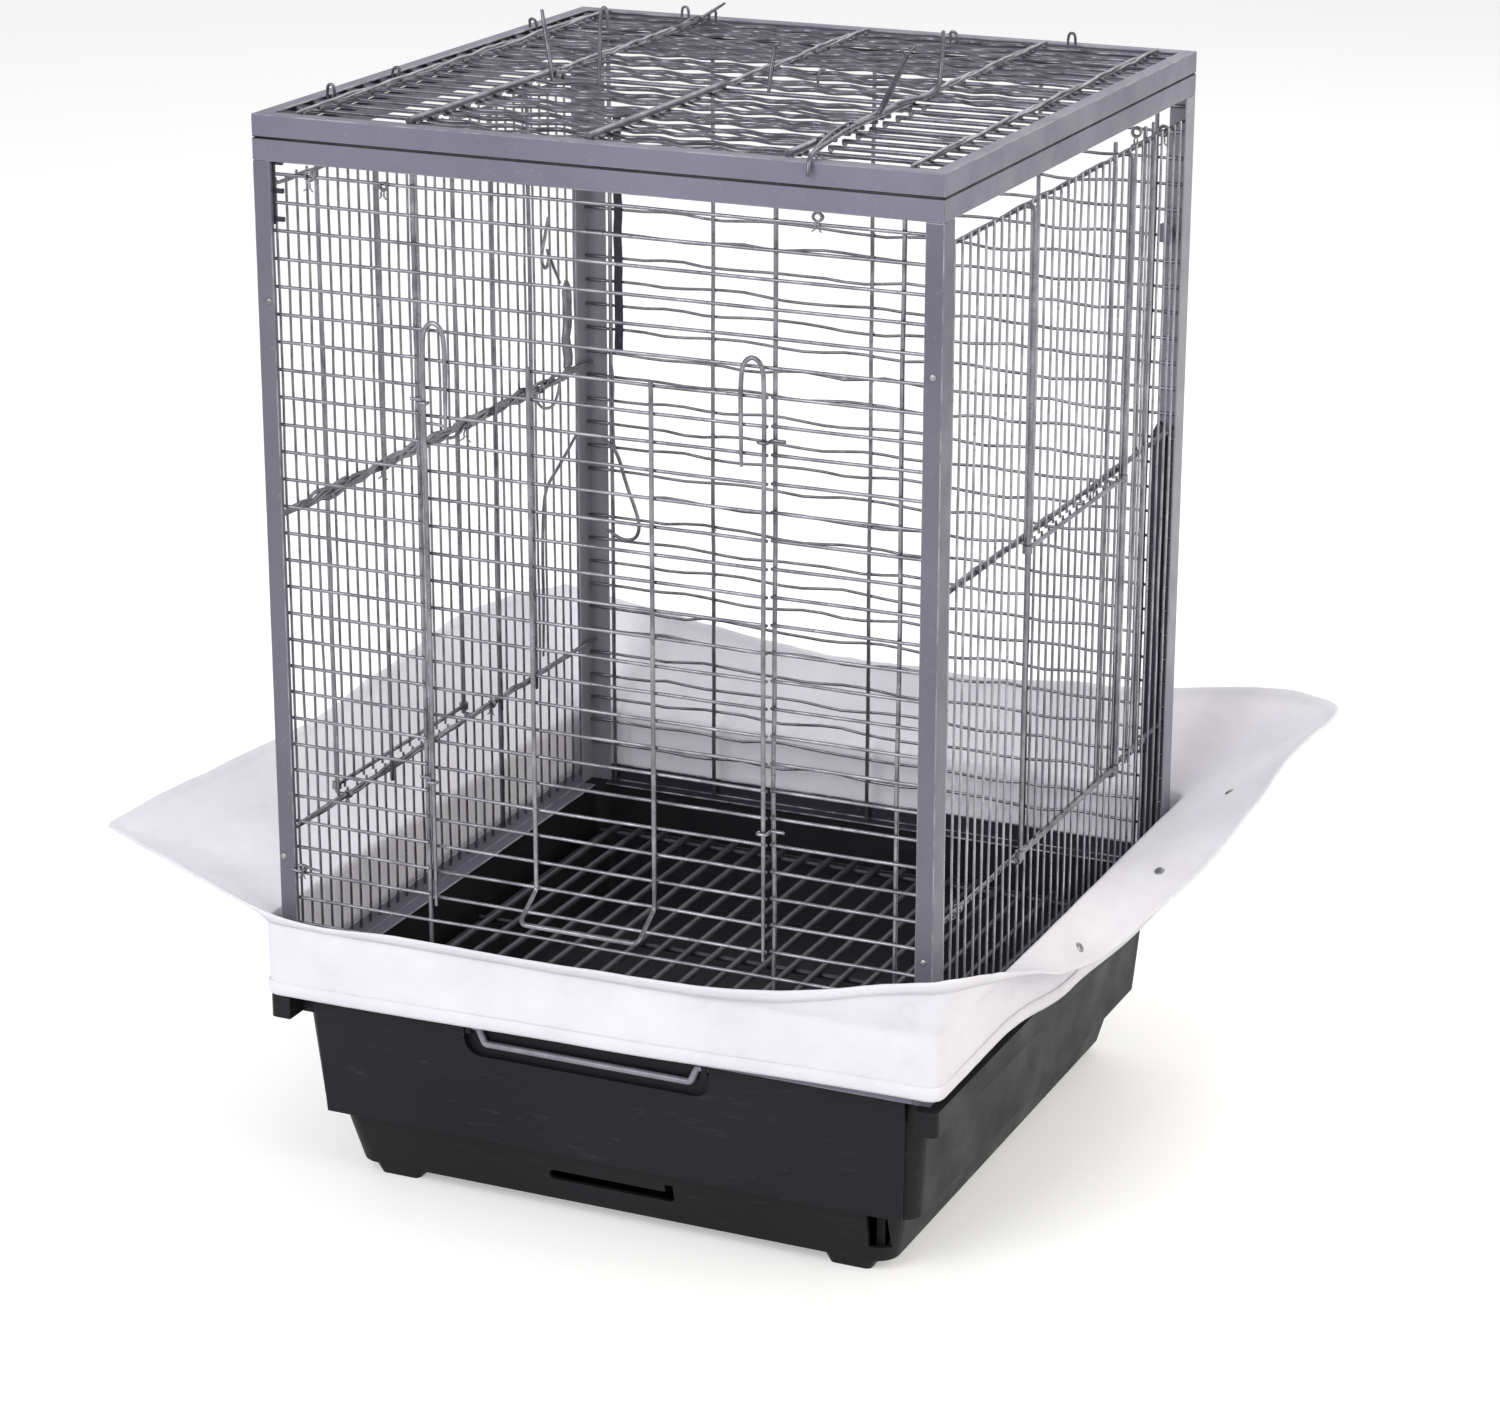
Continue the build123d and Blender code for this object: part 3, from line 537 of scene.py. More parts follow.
for order, (node, piece, body, slot, wave, across) in enumerate(straightWires):
    beat, period, holder = beats.get(node, (0, 36, None))
    wires = sorted(wiresOf(node), key=lambda w: tuple(w[0]))
    held = [w[0][wires[0][2]] for w in wiresOf(holder)] if holder else []
    thicker = 1.35 if node in ("grate_bars", "roof_door_rods") else 1  # their coating has built up thick
    routes = []
    for i, (first, last, axis, radius) in enumerate(wires):
        free = node != "lid_wires" or not nearDoor(first, last)
        routes.append(waved(first, last, axis, radius * thicker, wave * free, across, order * 100 + i,
                            beat=beat * free, period=period, held=held))
    if body in ("lid", "roof_door") and beat:  # thin wires that wander between the rows
        for i, (low, high) in enumerate(zip(wires, wires[1:])):
            apart = high[0].y - low[0].y
            clear = body == "roof_door" or not (nearDoor(*low[:2]) or nearDoor(*high[:2]))
            if clear and apart < 30 * mm and i % 2 == 0 and abs(high[0].x - low[0].x) < 5 * mm:
                shift = Vector((0, apart / 2, 0))
                routes.append(waved(low[0] + shift, low[1] + shift, low[2], 0.8 * mm, 4, 1, order * 100 + i + 51,
                                    beat=4.2, period=41, held=()))
    made = addPiece(piece, tubes(piece, routes), body, slot, stands=[node])
    # the lid and roof door wires take the darker copy as painted shade
    if body in ("lid", "roof_door"):
        made.data.materials[0] = darkStripAndShadedWire
    # the right grille's wires take the paler copy as painted light
    if node == "right_grille_wires":
        made.data.materials[0] = paleStripAndLitWire
weldPiece("frontWelds", [("front_grille_rows", "front_grille_struts")], "cage")
weldPiece("backWelds", [("back_grille_rows", "back_grille_struts")], "cage")
weldPiece("sideWelds", [(side + "_grille_wires", side + "_grille_rails") for side in ("left", "right")], "cage")
weldPiece("lidWelds", [("lid_wires", "lid_supports")], "lid")
weldPiece("roofDoorWelds", [("roof_door_wires", "roof_door_rods")], "roof_door")
print("wires drawn")


# rails and supports: several strands wound loosely round each other
strandSets = [  # node, piece, body, and for each of its wires: strands, strand radius, spread, turns a metre
    ("left_grille_rails", "leftRails", "cage", [(2, 1.1, 1.0, 6), (6, 1.2, 4.0, 8), (3, 1.2, 1.9, 9)]),
    ("right_grille_rails", "rightRails", "cage", [(2, 1.1, 1.0, 5), (2, 1.5, 1.6, 4), (2, 1.2, 1.2, 5)]),
    ("lid_supports", "lidSupports", "lid", [(2, 1.5, 1.3, 5)] * 5),
]


def windStrands(first, last, axis, strands, radius, spread, turns, seed, flat):
    routes = []
    length = (last - first).length
    count = round(length / (6 * mm))
    side, up = [i for i in range(3) if i != axis]
    for strand in range(strands):
        points = []
        for i in range(count + 1):
            t = i / count
            point = first.lerp(last, t)
            turn = math.tau * (turns * length * t + strand / strands)
            turn += 1.6 * noise.noise(Vector((seed, strand * 5.1, 14 * t)))
            wide = spread * mm * min(1, 9 * t, 9 * (1 - t))
            wide *= 0.75 + 0.9 * noise.noise(Vector((seed + 9, strand * 2.3, 22 * t)))
            point[side] += wide * flat * math.cos(turn)
            point[up] += wide * math.sin(turn)
            points.append(point)
        routes.append((points, radius * mm))
    return routes


for order, (node, piece, body, sets) in enumerate(strandSets):
    wires = sorted(wiresOf(node), key=lambda w: (-w[0].z, w[0].x))
    routes = []
    for i, (wire, (strands, radius, spread, turns)) in enumerate(zip(wires, sets)):
        routes += windStrands(wire[0], wire[1], wire[2], strands, radius, spread, turns, order * 10 + i,
                              0.7 if body == "lid" else 0.25)  # flat where a feeder door slides past
    addPiece(piece, tubes(piece, routes, sides=2), body, "cage_wire", stands=[node])
print("rails and supports wound")


# bent wires: routes in millimetres from the cage's middle, with a radius
def bentWires(name, body, routes, stands=(), finish=None):
    shaped = [([at(*p) for p in points], radius * mm) for radius, points in routes]
    piece = addPiece(name, tubes(name, shaped, sides=3, smooth=True), body, "cage_wire", stands=stands)
    if finish:
        piece.data.materials[0] = finish
    return piece


door = {"rodY": -232.5, "left": -115, "right": 118, "foot": 217, "archTop": 606, "leg": 538, "width": 15.5}


def caneRoute(x, side):
    # up the rod, over a narrow arch and down its short leg
    y, top, w = door["rodY"], door["archTop"], side * door["width"]
    return [(x, y, door["foot"]), (x, y, 300), (x + 0.4 * side, y, 420), (x, y, 540), (x, y, top - 14),
            (x + 0.1 * w, y, top - 3), (x + 0.5 * w, y, top + 1.5), (x + 0.9 * w, y, top - 3),
            (x + w, y, top - 14), (x + w, y, top - 40), (x + w - 0.5 * side, y, door["leg"])]


bentWires("frontDoorCanes", "front_door", [
    (1.5, caneRoute(door["left"], 1)), (1.5, caneRoute(door["right"], -1)),
    (1.2, [(-115, -232.5, 541), (-108, -233.5, 543), (-99.5, -232.5, 540.5)]),
], stands=["front_door_canes"])
bentWires("roofDoorCanes", "roof_door", [
    (1.5, [(-108, -62, 727.5), (-109, -61.5, 738), (-113, -58, 752), (-118, -53, 764), (-121, -50, 773.5)]),
    (1.3, [(-124, -57, 728.5), (-116, -62, 729.5), (-106, -64, 728.8), (-92, -58, 730), (-79, -54, 729.5)]),
    (1.5, [(-77, -57, 727.5), (-77.3, -55, 744), (-78, -52.5, 764), (-77.6, -51.5, 775), (-75.5, -51, 778.5),
           (-73.4, -51, 775), (-72.6, -51, 763.5)]),
    (2.0, [(129, -84, 728.8), (131, -82, 734), (136, -81, 745), (142.5, -81, 758), (147, -81, 768)]),
    (1.1, [(146.4, -81, 766), (145.6, -82, 769), (142.6, -82, 770.6)]),
    (1.1, [(146.8, -81, 767), (148.5, -80, 770), (152, -79, 773.2)]),
    (1.6, [(124.2, -75, 728.8), (126, -58, 730.2), (131, -40, 731.5), (136, -22, 731), (138.5, -8, 733),
           (138.7, -2, 745), (138.2, 0, 758), (138.7, 0, 770)]),
], stands=["roof_door_canes"], finish=darkStripAndShadedWire)
bentWires("roofDoorLatch", "roof_door", [
    (1.5, [(130.6, -78, 729), (131, -110, 730.4), (134, -150, 731), (140, -188, 731.6), (145, -216, 732.5),
           (147, -231, 732), (147.6, -236.2, 727), (147.4, -237, 720)]),
    (1.3, [(126, -120, 731), (129, -150, 732), (135, -182, 732.2), (141.5, -208, 732.6), (144.6, -224, 731.4)]),
] + [(0.9, [(127.5 + 0.2 * k, -126 - 13 * k, 731.4), (131 + k, -128 - 13 * k, 732.8),
            (134.2 + 1.6 * k, -130 - 13 * k, 731.2)]) for k in range(5)],
    stands=["roof_door_latch"], finish=darkStripAndShadedWire)
bentWires("lidHooks", "lid", [
    (1.5, [(27, -21, 725.5), (27.2, -19.5, 734), (27.9, -17, 746), (28.4, -15, 754), (29.5, -15, 756.2),
           (32, -15, 756)]),
    (1.2, [(43, 22, 726), (43, 23, 732), (45, 24, 736), (47.5, 24, 734)]),
], stands=["lid_hooks"], finish=darkStripAndShadedWire)
bentWires("hangingHook", "cage", [
    (1.4, [(-217, 226, 410), (-211, 226, 406), (-204, 226, 398), (-198, 226, 377), (-190, 226, 357),
           (-186.5, 226, 345), (-189, 226, 335), (-198, 226, 331.5), (-208, 226, 335), (-216, 226, 341)]),
    (1.2, [(-217, 226.5, 411), (-209, 226, 412.5), (-206.5, 226, 404)]),
    (1.0, [(-206.8, 226, 404), (-208, 225, 430), (-207, 226, 455), (-210, 225.5, 476), (-208, 226, 492)]),
], stands=["hanging_hook"])

# what has been tied, hooked or wound on over the years
loops = {
    "width": 5.5, "height": 11, "radius": 1.0, "foot": 725.5,
    "lid": [(-214, -164), (-211, -84.5), (-222, 134.5), (-141, 212.5), (-120, 212.5), (66.5, 205), (147.5, 218)],
}
lidLoops = []
for i, (x, y) in enumerate(loops["lid"]):
    w, h, z = loops["width"] / 2, loops["height"] * (1 - 0.12 * (i % 3)), loops["foot"]
    lean = 1.2 * math.sin(2.1 * i)
    lidLoops.append((loops["radius"], [(x - w, y, z), (x - w, y, z + 0.6 * h), (x - 0.7 * w + lean, y, z + h),
                                       (x + 0.7 * w + lean, y, z + h), (x + w, y, z + 0.6 * h), (x + w, y, z)]))
lidLoops += [
    (1.2, [(-131, 160, 728.5), (-124, 172, 731), (-118, 186, 733), (-114, 200, 737), (-110, 212, 741)]),
    (1.0, [(-128, 178, 730), (-118, 181, 737), (-112, 186, 733), (-119, 192, 729)]),
]
bentWires("lidLoops", "lid", lidLoops, finish=darkStripAndShadedWire)


def knot(x, y, z, size, seed):
    # a tie of thin wire: two and a half uneven turns with both tails twisted away
    spread = random.Random(seed)
    turn = []
    for i in range(15):
        a = math.tau * i / 6
        r = size * (0.8 + 0.35 * spread.random())
        turn.append((x + r * math.cos(a), y - 1.2 + 2.4 * i / 15 + spread.random(), z + r * math.sin(a)))
    tails = []
    for side in (-1, 1):
        tails.append((0.6, [(x, y, z - 0.6 * size), (x + side * 1.5, y - 1.5, z - 1.5 * size),
                            (x + side * 0.4, y - 0.6, z - 2.2 * size),
                            (x + side * size, y - 1.8, z - 2.7 * size)]))
    return [(0.75, turn)] + tails


ties = [  # where the frame's ties sit, and how large each is
    (-193.5, -230, 691, 3.4), (-141, -230, 689, 2.8), (151, -229.5, 695, 3.2), (-216.5, -229.5, 226, 2.4),
    (-226.5, 143, 466, 4.0), (-226.5, 30, 466, 4.6), (226.5, 60, 466, 3.8), (226.5, 150, 250, 3.6),
    (226.5, 176, 250, 3.4), (226.5, -176, 250, 2.8), (-226.5, -88, 466, 3.6), (226.5, 127.8, 690, 3.4),
    (226.5, 185, 681, 3.8), (-226.5, -150, 250, 2.6), (-226.5, 60, 250, 2.8),
]
tied = []
for i, (x, y, z, size) in enumerate(ties):
    tied += knot(x, y, z, size, 40 + i)
tied += [
    # a snap hook and a bent wire on the left grille
    (1.3, [(-226, 160, 588), (-226, 156, 576), (-226, 150, 566), (-226, 149, 556), (-226, 156, 550),
           (-226, 162, 558), (-226, 157, 567), (-226, 166, 552), (-226, 178, 536)]),
    (1.2, [(-226, 205, 420), (-226, 192, 411), (-226, 168, 398), (-226, 152, 390), (-226, 146, 378),
           (-226, 143, 340), (-226, 144, 300), (-226, 142, 262)]),
    (1.1, [(-226, 128, 470), (-226, 140, 452), (-226, 160, 446), (-226, 172, 452), (-226, 176, 466)]),
    # wound round the foot of the left front post
    (1.0, [(-222, -233.6, 226), (-217, -234, 224.5), (-214, -231, 226), (-216, -228, 228), (-219, -233.8, 228.5),
           (-214.5, -233, 230), (-208, -230.5, 226.5), (-203, -229.5, 226)]),
]
bentWires("frameTies", "cage", tied)
print("bent wires and ties drawn")


# strips: thin flat bars, crumpled a little, that stand beside the struts
def strip(name, low, high, slot="cage_wire", crumple=0.5, roundTop=False, body="cage", finish=None):
    bm = bmesh.new()
    bmesh.ops.create_cube(bm, size=1)
    lowM, highM = at(*low), at(*high)
    size = highM - lowM
    bmesh.ops.scale(bm, vec=size, verts=bm.verts)
    bmesh.ops.translate(bm, vec=(lowM + highM) / 2, verts=bm.verts)
    tall = [e for e in bm.edges if abs(e.verts[0].co.z - e.verts[1].co.z) > 0.5 * size.z]
    bmesh.ops.subdivide_edges(bm, edges=tall, cuts=max(6, round(size.z / (8 * mm))), use_grid_fill=True)
    if roundTop:
        wide = 0 if size.x > size.y else 1
        middle = (lowM[wide] + highM[wide]) / 2
        for vert in bm.verts:
            below = highM.z - vert.co.z
            half = size[wide] / 2
            if below < half:
                vert.co[wide] = middle + (vert.co[wide] - middle) * math.sqrt(max(0.04, 1 - (1 - below / half) ** 2))
    for vert in bm.verts:
        shake = Vector((vert.co.z * 60, low[0] * 0.11, low[1] * 0.07))
        vert.co.x += crumple * mm * noise.noise(shake)
        vert.co.y += crumple * mm * noise.noise(shake + Vector((7, 3, 5)))
    edges = [e for e in bm.edges if e.calc_face_angle(0) > math.radians(50)]
    bmesh.ops.bevel(bm, geom=edges, offset=0.35 * mm, offset_type="OFFSET", segments=2, profile=0.5,
                    affect="EDGES", clamp_overlap=True, material=-1)
    piece = addPiece(name, meshFrom(bm, name), body, slot)
    if finish:
        piece.data.materials[0] = finish


strip("leftJambStrip", (-125.6, -224.6, 248), (-121.4, -222.4, 697), finish=paleStripAndLitWire, crumple=0.9)
strip("leftStrutStrip", (-224.8, 68, 152), (-222.6, 70.6, 462), finish=darkStripAndShadedWire, crumple=0.4)
strip("cornerBracket", (-224.8, -228.5, 658), (-219.5, -226.5, 701), "frame_paint", finish=darkPaintAndShade, crumple=0)
for high in (699, 681, 663):
    strip("cornerBracket.tab" + str(high), (-219.8, -229, high - 3), (-213.5, -226.5, high), "frame_paint",
          finish=darkPaintAndShade, crumple=0)
strip("hangingBlade", (-229, 186, 470), (-227, 198, 535), crumple=1.4, roundTop=True)
strip("backStrip", (-206.5, 227, 476), (-200, 228.6, 655), "frame_paint", finish=darkPaintAndShade, crumple=0.8)
strip("postChannel", (213.5, 219.5, 149), (224, 223.5, 470), "frame_paint", finish=darkPaintAndShade, crumple=0, roundTop=True)
strip("postTab", (212.5, 220.5, 597), (223.5, 222.5, 611), "frame_paint", crumple=0.1, roundTop=True)
print("strips placed")


# rivets in the front posts: low domes with a rim
rivets = {"radius": 2.3, "height": 1.1, "front": [(-229.3, 233.5), (226.5, 234), (226.5, 606), (-224.5, 609)]}


def dome(bm, place, outward, radius, height):
    # a low dome turned from its own profile
    profile = [(radius, 0), (radius, 0.25 * height), (0.86 * radius, 0.62 * height), (0.5 * radius, 0.93 * height),
               (0, height)]
    turn = Vector((0, 0, 1)).rotation_difference(outward).to_matrix().to_4x4()
    place = Matrix.Translation(place) @ turn
    verts = [bm.verts.new(Vector((r, 0, h))) for r, h in profile]
    edges = [bm.edges.new(pair) for pair in zip(verts, verts[1:])]
    made = bmesh.ops.spin(bm, geom=verts + edges, cent=(0, 0, 0), axis=(0, 0, 1), angle=math.tau, steps=16,
                          use_merge=True)
    fresh = {v for v in bm.verts if v.is_valid and not v.tag}
    bmesh.ops.transform(bm, matrix=place, verts=list(fresh))
    for vert in fresh:
        vert.tag = True
    return made


def domes(name, spots, radius, height, slot, body="cage"):
    bm = bmesh.new()
    for place, outward in spots:
        dome(bm, place, outward, radius * mm, height * mm)
    bmesh.ops.remove_doubles(bm, verts=bm.verts, dist=0.01 * mm)
    bmesh.ops.holes_fill(bm, edges=[e for e in bm.edges if e.is_boundary], sides=0)
    bmesh.ops.recalc_face_normals(bm, faces=bm.faces)
    return addPiece(name, meshFrom(bm, name, 60), body, slot)


domes("postRivets", [(at(x, -232.3, z), Vector((0, -1, 0))) for x, z in rivets["front"]],
      rivets["radius"], rivets["height"], "hinge_steel")
print("rivets set")


# seed skirt: one sheet of cloth, round the foot of the frame and out to its free edge
skirt = {
    "foldHeight": 190,
    "inside": 241.3,  # half the width of the band
    "cornerRadius": 9,
    "rowsUp": 10,
    "rowsOut": 24,
    "columns": 480,
    "thickness": 0.8,
    "hemWidth": 9,
    "hemGap": 1.3,  # how far the turned-back cloth stands off
    "foot": [  # the lower edge's height at angles round the cage, 0 at the right
        (0, 131), (33, 121), (45, 120), (90, 124), (135, 127), (180, 131), (225, 137.8), (270, 141),
        (315, 146), (331, 147), (360, 131),
    ],
    "edge": [  # the free edge, anticlockwise from the front left corner; True where the cloth has a point
        (-375.5, -218.5, 230, True), (-232, -245, 196, False), (-135, -246, 196, False),
        (0, -247.5, 197, False), (127, -247.5, 204, False), (250.5, -254.5, 236, False),
        (262, -156, 205, False), (261, -27, 161, False), (281, 36, 174, False), (310, 84, 204, False),
        (325, 123, 230, False), (330, 186, 246, False), (329.5, 295.5, 258, False),
        (150, 292, 246, False), (30, 297.5, 238, False), (-88, 297.5, 241, False),
        (-292.5, 312.5, 262, True), (-317, 217, 268, False), (-317, 107, 266, False),
        (-322, -32, 254, False),
    ],
    "bow": 0.07,  # how far a flap bellies out, as a share of its width
    "folds": 3.2,
    "ripple": 0.9,
}


def bandPoint(angle):
    # a point on the band's rounded square, seen from above, at an angle about the middle
    ux, uy = math.cos(angle), math.sin(angle)
    core = skirt["inside"] - skirt["cornerRadius"]
    reach = skirt["inside"] / max(abs(ux), abs(uy))
    if min(abs(ux), abs(uy)) * reach > core:
        along = ux * math.copysign(core, ux) + uy * math.copysign(core, uy)
        reach = along + math.sqrt(max(0, along * along - 2 * core * core + skirt["cornerRadius"] ** 2))
    return Vector((ux * reach, uy * reach, 0))


def footHeight(angle):
    degrees = math.degrees(angle) % 360
    for (a, low), (b, high) in zip(skirt["foot"], skirt["foot"][1:]):
        if a <= degrees <= b:
            t = (degrees - a) / (b - a)
            return low + (high - low) * t * t * (3 - 2 * t)


stations = sorted((math.atan2(y, x) % math.tau, Vector((x, y, z)), pointed)
                  for x, y, z, pointed in skirt["edge"])


def edgePoint(angle):
    # the free edge at an angle about the middle: a smooth line that breaks only at the pointed corners
    angle %= math.tau
    last = max((i for i, s in enumerate(stations) if s[0] <= angle), default=-1)
    near = []
    for k in range(last - 1, last + 3):
        turn, index = divmod(k, len(stations))
        near.append((stations[index][0] + math.tau * turn, *stations[index][1:]))
    (a0, p0, _), (a1, p1, sharp1), (a2, p2, sharp2), (a3, p3, _) = near
    straight = p2 - p1
    leave = straight if sharp1 else (p2 - p0) / (a2 - a0) * (a2 - a1)
    arrive = straight if sharp2 else (p3 - p1) / (a3 - a1) * (a2 - a1)
    t = (angle - a1) / (a2 - a1)
    return ((2 * t ** 3 - 3 * t ** 2 + 1) * p1 + (t ** 3 - 2 * t ** 2 + t) * leave
            + (3 * t ** 2 - 2 * t ** 3) * p2 + (t ** 3 - t ** 2) * arrive)


def clothLine(angle):
    # one line of the cloth from its foot to its free edge, before the folds
    wall = bandPoint(angle)
    foot, fold = wall.copy(), wall.copy()
    foot.z, fold.z = footHeight(angle), skirt["foldHeight"]
    edge = edgePoint(angle)
    belly = fold.lerp(edge, 0.5) + Vector((0, 0, -skirt["bow"] * (edge - fold).length))
    line = [foot.lerp(fold, i / skirt["rowsUp"]) for i in range(skirt["rowsUp"])]
    for i in range(skirt["rowsOut"] + 1):
        t = i / skirt["rowsOut"]
        line.append((1 - t) ** 2 * fold + 2 * t * (1 - t) * belly + t * t * edge)
    return line


def foldedPoint(point, angle, share, reach):
    # the soft folds: broad ones that run out from the cage, and small ripples between them
    around = Vector((math.cos(angle), math.sin(angle), 0)) * 3.1
    broad = noise.noise(around * 2.2 + Vector((0, 0, 0.6 * share)))
    small = noise.noise(around * 7.5 + Vector((5, 3, 1.6 * share)))
    free = min(1, reach / 60)
    lift = free * share * (skirt["folds"] * broad + skirt["ripple"] * small)
    slack = (1 - share) * 0.35 * max(0, small)
    out = Vector((math.cos(angle), math.sin(angle), 0))
    return point + Vector((0, 0, lift)) + out * (0.4 * abs(lift) * share + slack)


def skirtLines():
    lines = []
    for i in range(skirt["columns"]):
        angle = math.tau * (i + 0.5) / skirt["columns"]
        line = clothLine(angle)
        reach = (line[-1] - line[skirt["rowsUp"]]).length
        rows = len(line) - 1
        lines.append([foldedPoint(p, angle, k / rows, reach) for k, p in enumerate(line)])
    return lines


def hemmed(line, angle):
    # both ends of the cloth are turned back on the outside, as a sewn hem is
    out = Vector((math.cos(angle), math.sin(angle), 0))
    gap, width = skirt["hemGap"], skirt["hemWidth"]
    foot = [line[0] + out * gap + Vector((0, 0, width * t)) for t in (1, 0.5, 0.12)]
    foot.append(line[0] + out * gap * 0.5 + Vector((0, 0, -0.3)))
    back = (line[-4] - line[-1]).normalized()
    across = back.cross(Vector((-out.y, out.x, 0))).normalized()
    if across.dot(out * 0.2 - Vector((0, 0, 1))) < 0:
        across = -across
    edge = [line[-1] + across * gap * 0.5 - back * 0.4]
    edge += [line[-1] + across * gap + back * width * t for t in (0.12, 0.5, 1)]
    return foot + line + edge


def makeSkirt():
    bm = bmesh.new()
    lines = skirtLines()
    count = len(lines)
    whole = [hemmed(line, math.tau * (i + 0.5) / count) for i, line in enumerate(lines)]
    first = [bm.verts.new(at(*line[0])) for line in whole]
    ring = [bm.edges.new((first[i], first[(i + 1) % count])) for i in range(count)]
    weave = bm.loops.layers.uv.new("weave")
    far = 0.0
    for row in range(1, len(whole[0])):
        step = (whole[0][row] - whole[0][row - 1]).length * mm
        made = bmesh.ops.extrude_edge_only(bm, edges=ring)["geom"]
        newVerts = [g for g in made if isinstance(g, bmesh.types.BMVert)]
        faces = [g for g in made if isinstance(g, bmesh.types.BMFace)]
        ring = [g for g in made if isinstance(g, bmesh.types.BMEdge) and all(v in newVerts for v in g.verts)]
        newSet = set(newVerts)
        partner = {}
        for face in faces:
            for edge in face.edges:
                a, b = edge.verts
                if (a in newSet) != (b in newSet):
                    old, new = (b, a) if a in newSet else (a, b)
                    partner[old] = new
        below = first
        first = [partner[v] for v in below]
        for i, vert in enumerate(first):
            vert.co = at(*whole[i][row])
        column = {v: i for i, v in enumerate(below)} | {v: i for i, v in enumerate(first)}
        for face in faces:
            seam = {column[loop.vert] for loop in face.loops} == {0, count - 1}
            for loop in face.loops:
                i = column[loop.vert]
                u = count if seam and i == 0 else i
                loop[weave].uv = (u * 2.2 / count, far + (step if loop.vert in newSet else 0))
        far += step
    bmesh.ops.recalc_face_normals(bm, faces=bm.faces)
    return bm


skirtMesh = makeSkirt()
skirtArea = sum(f.calc_area() for f in skirtMesh.faces)
skirtPiece = addPiece("seedSkirt", meshFrom(skirtMesh, "seedSkirt", 180), "cage", "skirt_cloth",
                      stands=["skirt_band", "skirt_flap_left", "skirt_flap_back", "skirt_flap_right",
                              "skirt_flap_front"])
thick = skirtPiece.modifiers.new("thickness", "SOLIDIFY")
thick.thickness = skirt["thickness"] * mm
thick.offset = 0
print("skirt cloth, square metres:", round(skirtArea, 4))
studs = {"radius": 3.6, "height": 1.4, "places": [(15.1, 0.53), (31.5, 0.57), (-4.5, 0.62)]}


def skirtSpot(degrees, share):
    # a place on the finished cloth, and the way it faces there
    angle = math.radians(degrees)
    def surface(a, t):
        line = clothLine(a)
        index = skirt["rowsUp"] + t * skirt["rowsOut"]
        low = int(index)
        point = line[low].lerp(line[min(low + 1, len(line) - 1)], index - low)
        reach = (line[-1] - line[skirt["rowsUp"]]).length
        return foldedPoint(point, a, index / (len(line) - 1), reach)
    here = surface(angle, share)
    around, outwards = surface(angle + 0.01, share) - here, surface(angle, share + 0.02) - here
    facing = around.cross(outwards).normalized()
    if facing.dot(Vector((0.5 * math.cos(angle), 0.5 * math.sin(angle), 1))) < 0:
        facing = -facing
    return at(*(here + facing * 0.3)), facing


domes("pressStuds", [skirtSpot(*place) for place in studs["places"]], studs["radius"], studs["height"],
      "hinge_steel")
print("skirt laid round the frame")


# floor, backdrop and lights
studio = {
    "floorSize": 14,
    "floorColour": (0.8, 0.8, 0.8, 1),
    "floorGlow": 0.34,  # seen by the camera and in reflections only, so that the floor is nearly white
    "ambient": 0.78,
    "key": {"place": (-0.9, -3.4, 2.4), "size": 2.4, "watts": 84, "tint": (0.97, 0.97, 1.0)},
    "fill": {"place": (3.2, -0.6, 1.9), "size": 2.4, "watts": 48, "tint": (1.0, 0.94, 0.78)},
    "rear": {"place": (0.2, 2.6, 3.0), "size": 2.6, "watts": 34, "tint": (1.0, 1.0, 1.0)},
}


def anyDirectRay(tree):
    # 1 for what the camera sees, itself or in a reflection, and 0 for the light on the object
    seen = tree.nodes.new("ShaderNodeLightPath")
    total = seen.outputs["Is Camera Ray"]
    for name in ("Is Glossy Ray", "Is Transmission Ray"):
        either = tree.nodes.new("ShaderNodeMath")
        either.operation = "MAXIMUM"
        tree.links.new(total, either.inputs[0])
        tree.links.new(seen.outputs[name], either.inputs[1])
        total = either.outputs[0]
    return total


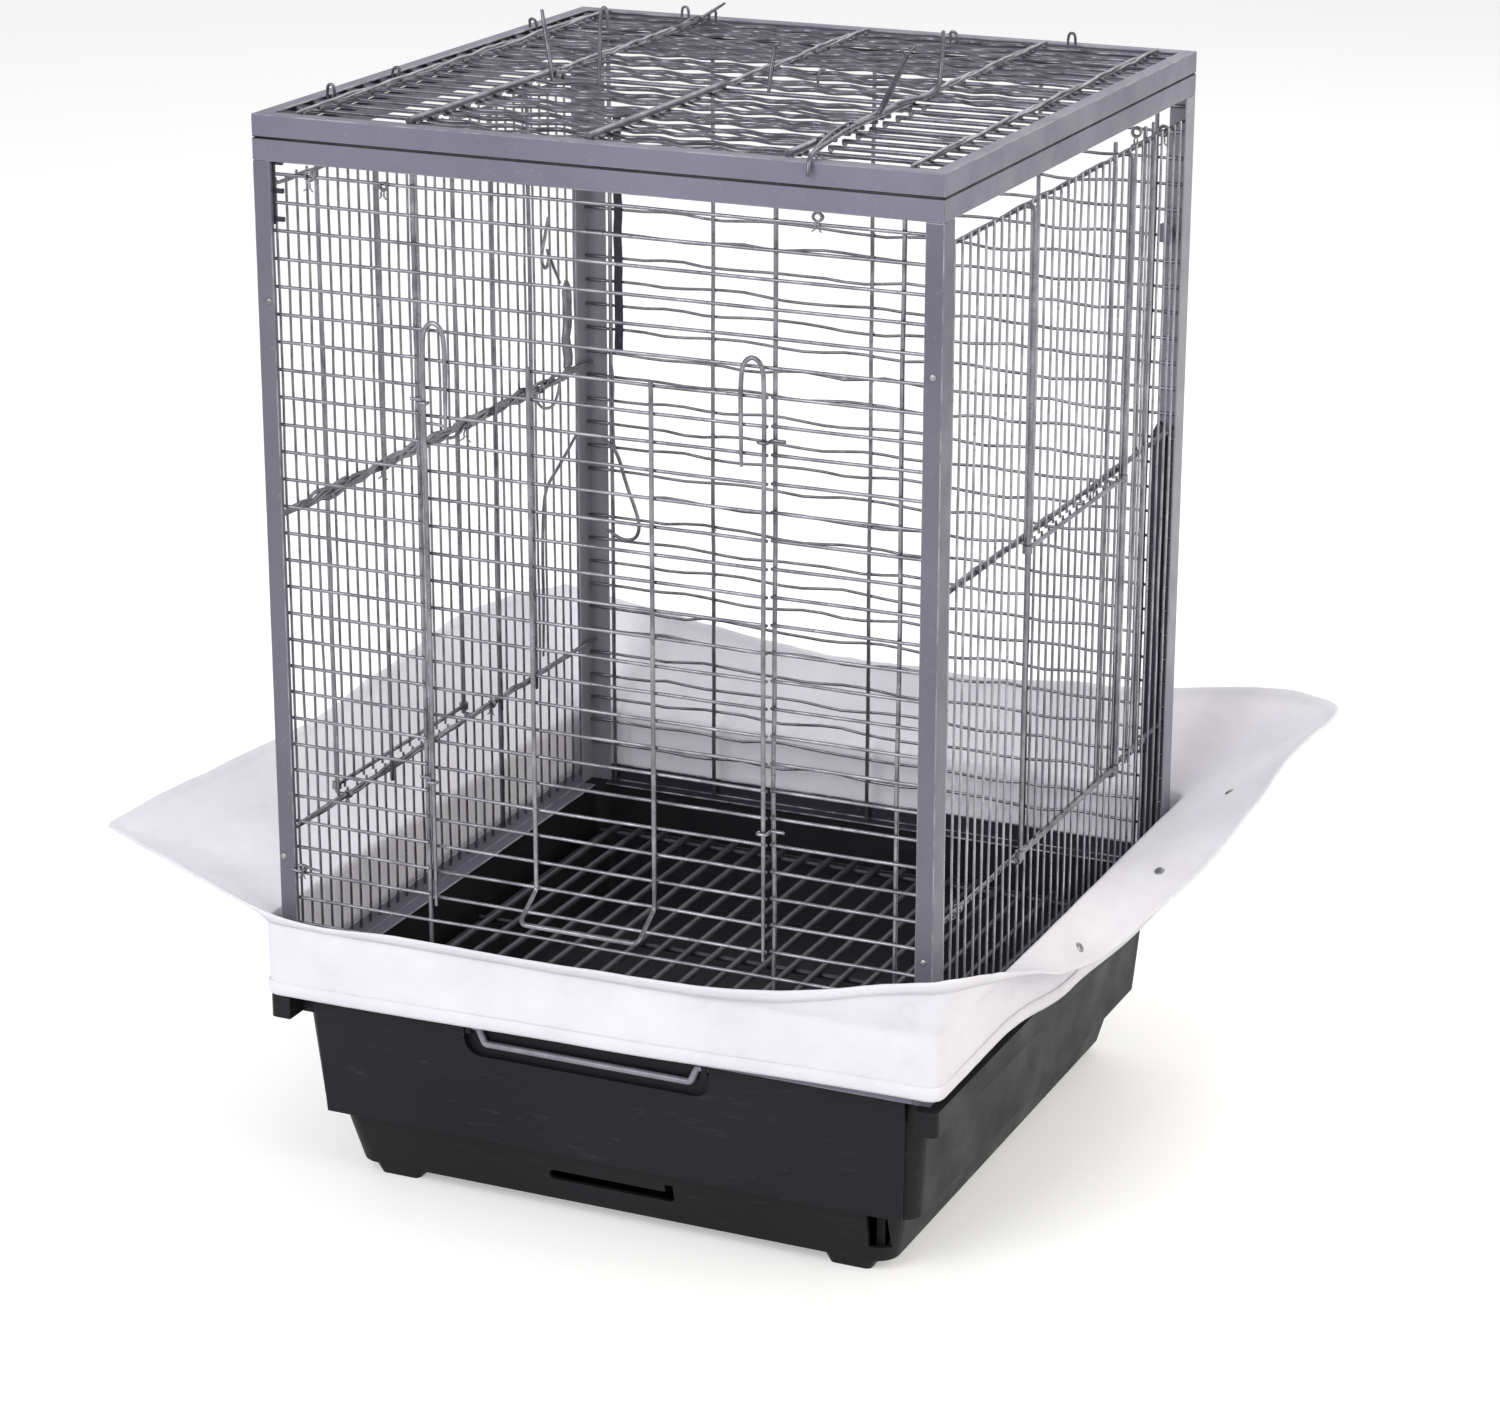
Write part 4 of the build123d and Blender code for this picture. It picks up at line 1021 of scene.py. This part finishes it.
def makeFloor():
    bm = bmesh.new()
    bmesh.ops.create_grid(bm, x_segments=1, y_segments=1, size=studio["floorSize"] / 2)
    mesh = bpy.data.meshes.new("floor")
    bm.to_mesh(mesh)
    bm.free()
    floor = bpy.data.objects.new("floor", mesh)
    bpy.context.scene.collection.objects.link(floor)
    material = bpy.data.materials.new("floorCard")
    material.use_nodes = True
    shader = material.node_tree.nodes["Principled BSDF"]
    shader.inputs["Base Color"].default_value = studio["floorColour"]
    shader.inputs["Roughness"].default_value = 0.9
    shader.inputs["Specular IOR Level"].default_value = 0.1
    shader.inputs["Emission Color"].default_value = (1, 1, 1, 1)
    tree = material.node_tree
    glow = tree.nodes.new("ShaderNodeMath")
    glow.operation = "MULTIPLY"
    glow.inputs[1].default_value = studio["floorGlow"]
    tree.links.new(anyDirectRay(tree), glow.inputs[0])
    tree.links.new(glow.outputs[0], shader.inputs["Emission Strength"])
    mesh.materials.append(material)


def makeWorld():
    world = bpy.data.worlds.new("studio")
    world.use_nodes = True
    nodes, links = world.node_tree.nodes, world.node_tree.links
    nodes.clear()
    white, soft = nodes.new("ShaderNodeBackground"), nodes.new("ShaderNodeBackground")
    white.inputs["Strength"].default_value = 1
    soft.inputs["Strength"].default_value = studio["ambient"]
    mix, out = nodes.new("ShaderNodeMixShader"), nodes.new("ShaderNodeOutputWorld")
    links.new(anyDirectRay(world.node_tree), mix.inputs[0])
    links.new(soft.outputs[0], mix.inputs[1])
    links.new(white.outputs[0], mix.inputs[2])
    links.new(mix.outputs[0], out.inputs["Surface"])
    bpy.context.scene.world = world


def makeLamp(name):
    spec = studio[name]
    data = bpy.data.lights.new(name, "AREA")
    data.size = spec["size"]
    data.energy = spec["watts"]
    data.color = spec["tint"]
    lamp = bpy.data.objects.new(name, data)
    lamp.location = spec["place"]
    aim = Vector((0, 0, 0.4)) - lamp.location
    lamp.rotation_euler = aim.to_track_quat("-Z", "Y").to_euler()
    bpy.context.scene.collection.objects.link(lamp)


makeFloor()
makeWorld()
for lamp in ("key", "fill", "rear"):
    makeLamp(lamp)
bpy.context.scene.view_settings.view_transform = "Standard"
print("studio ready")
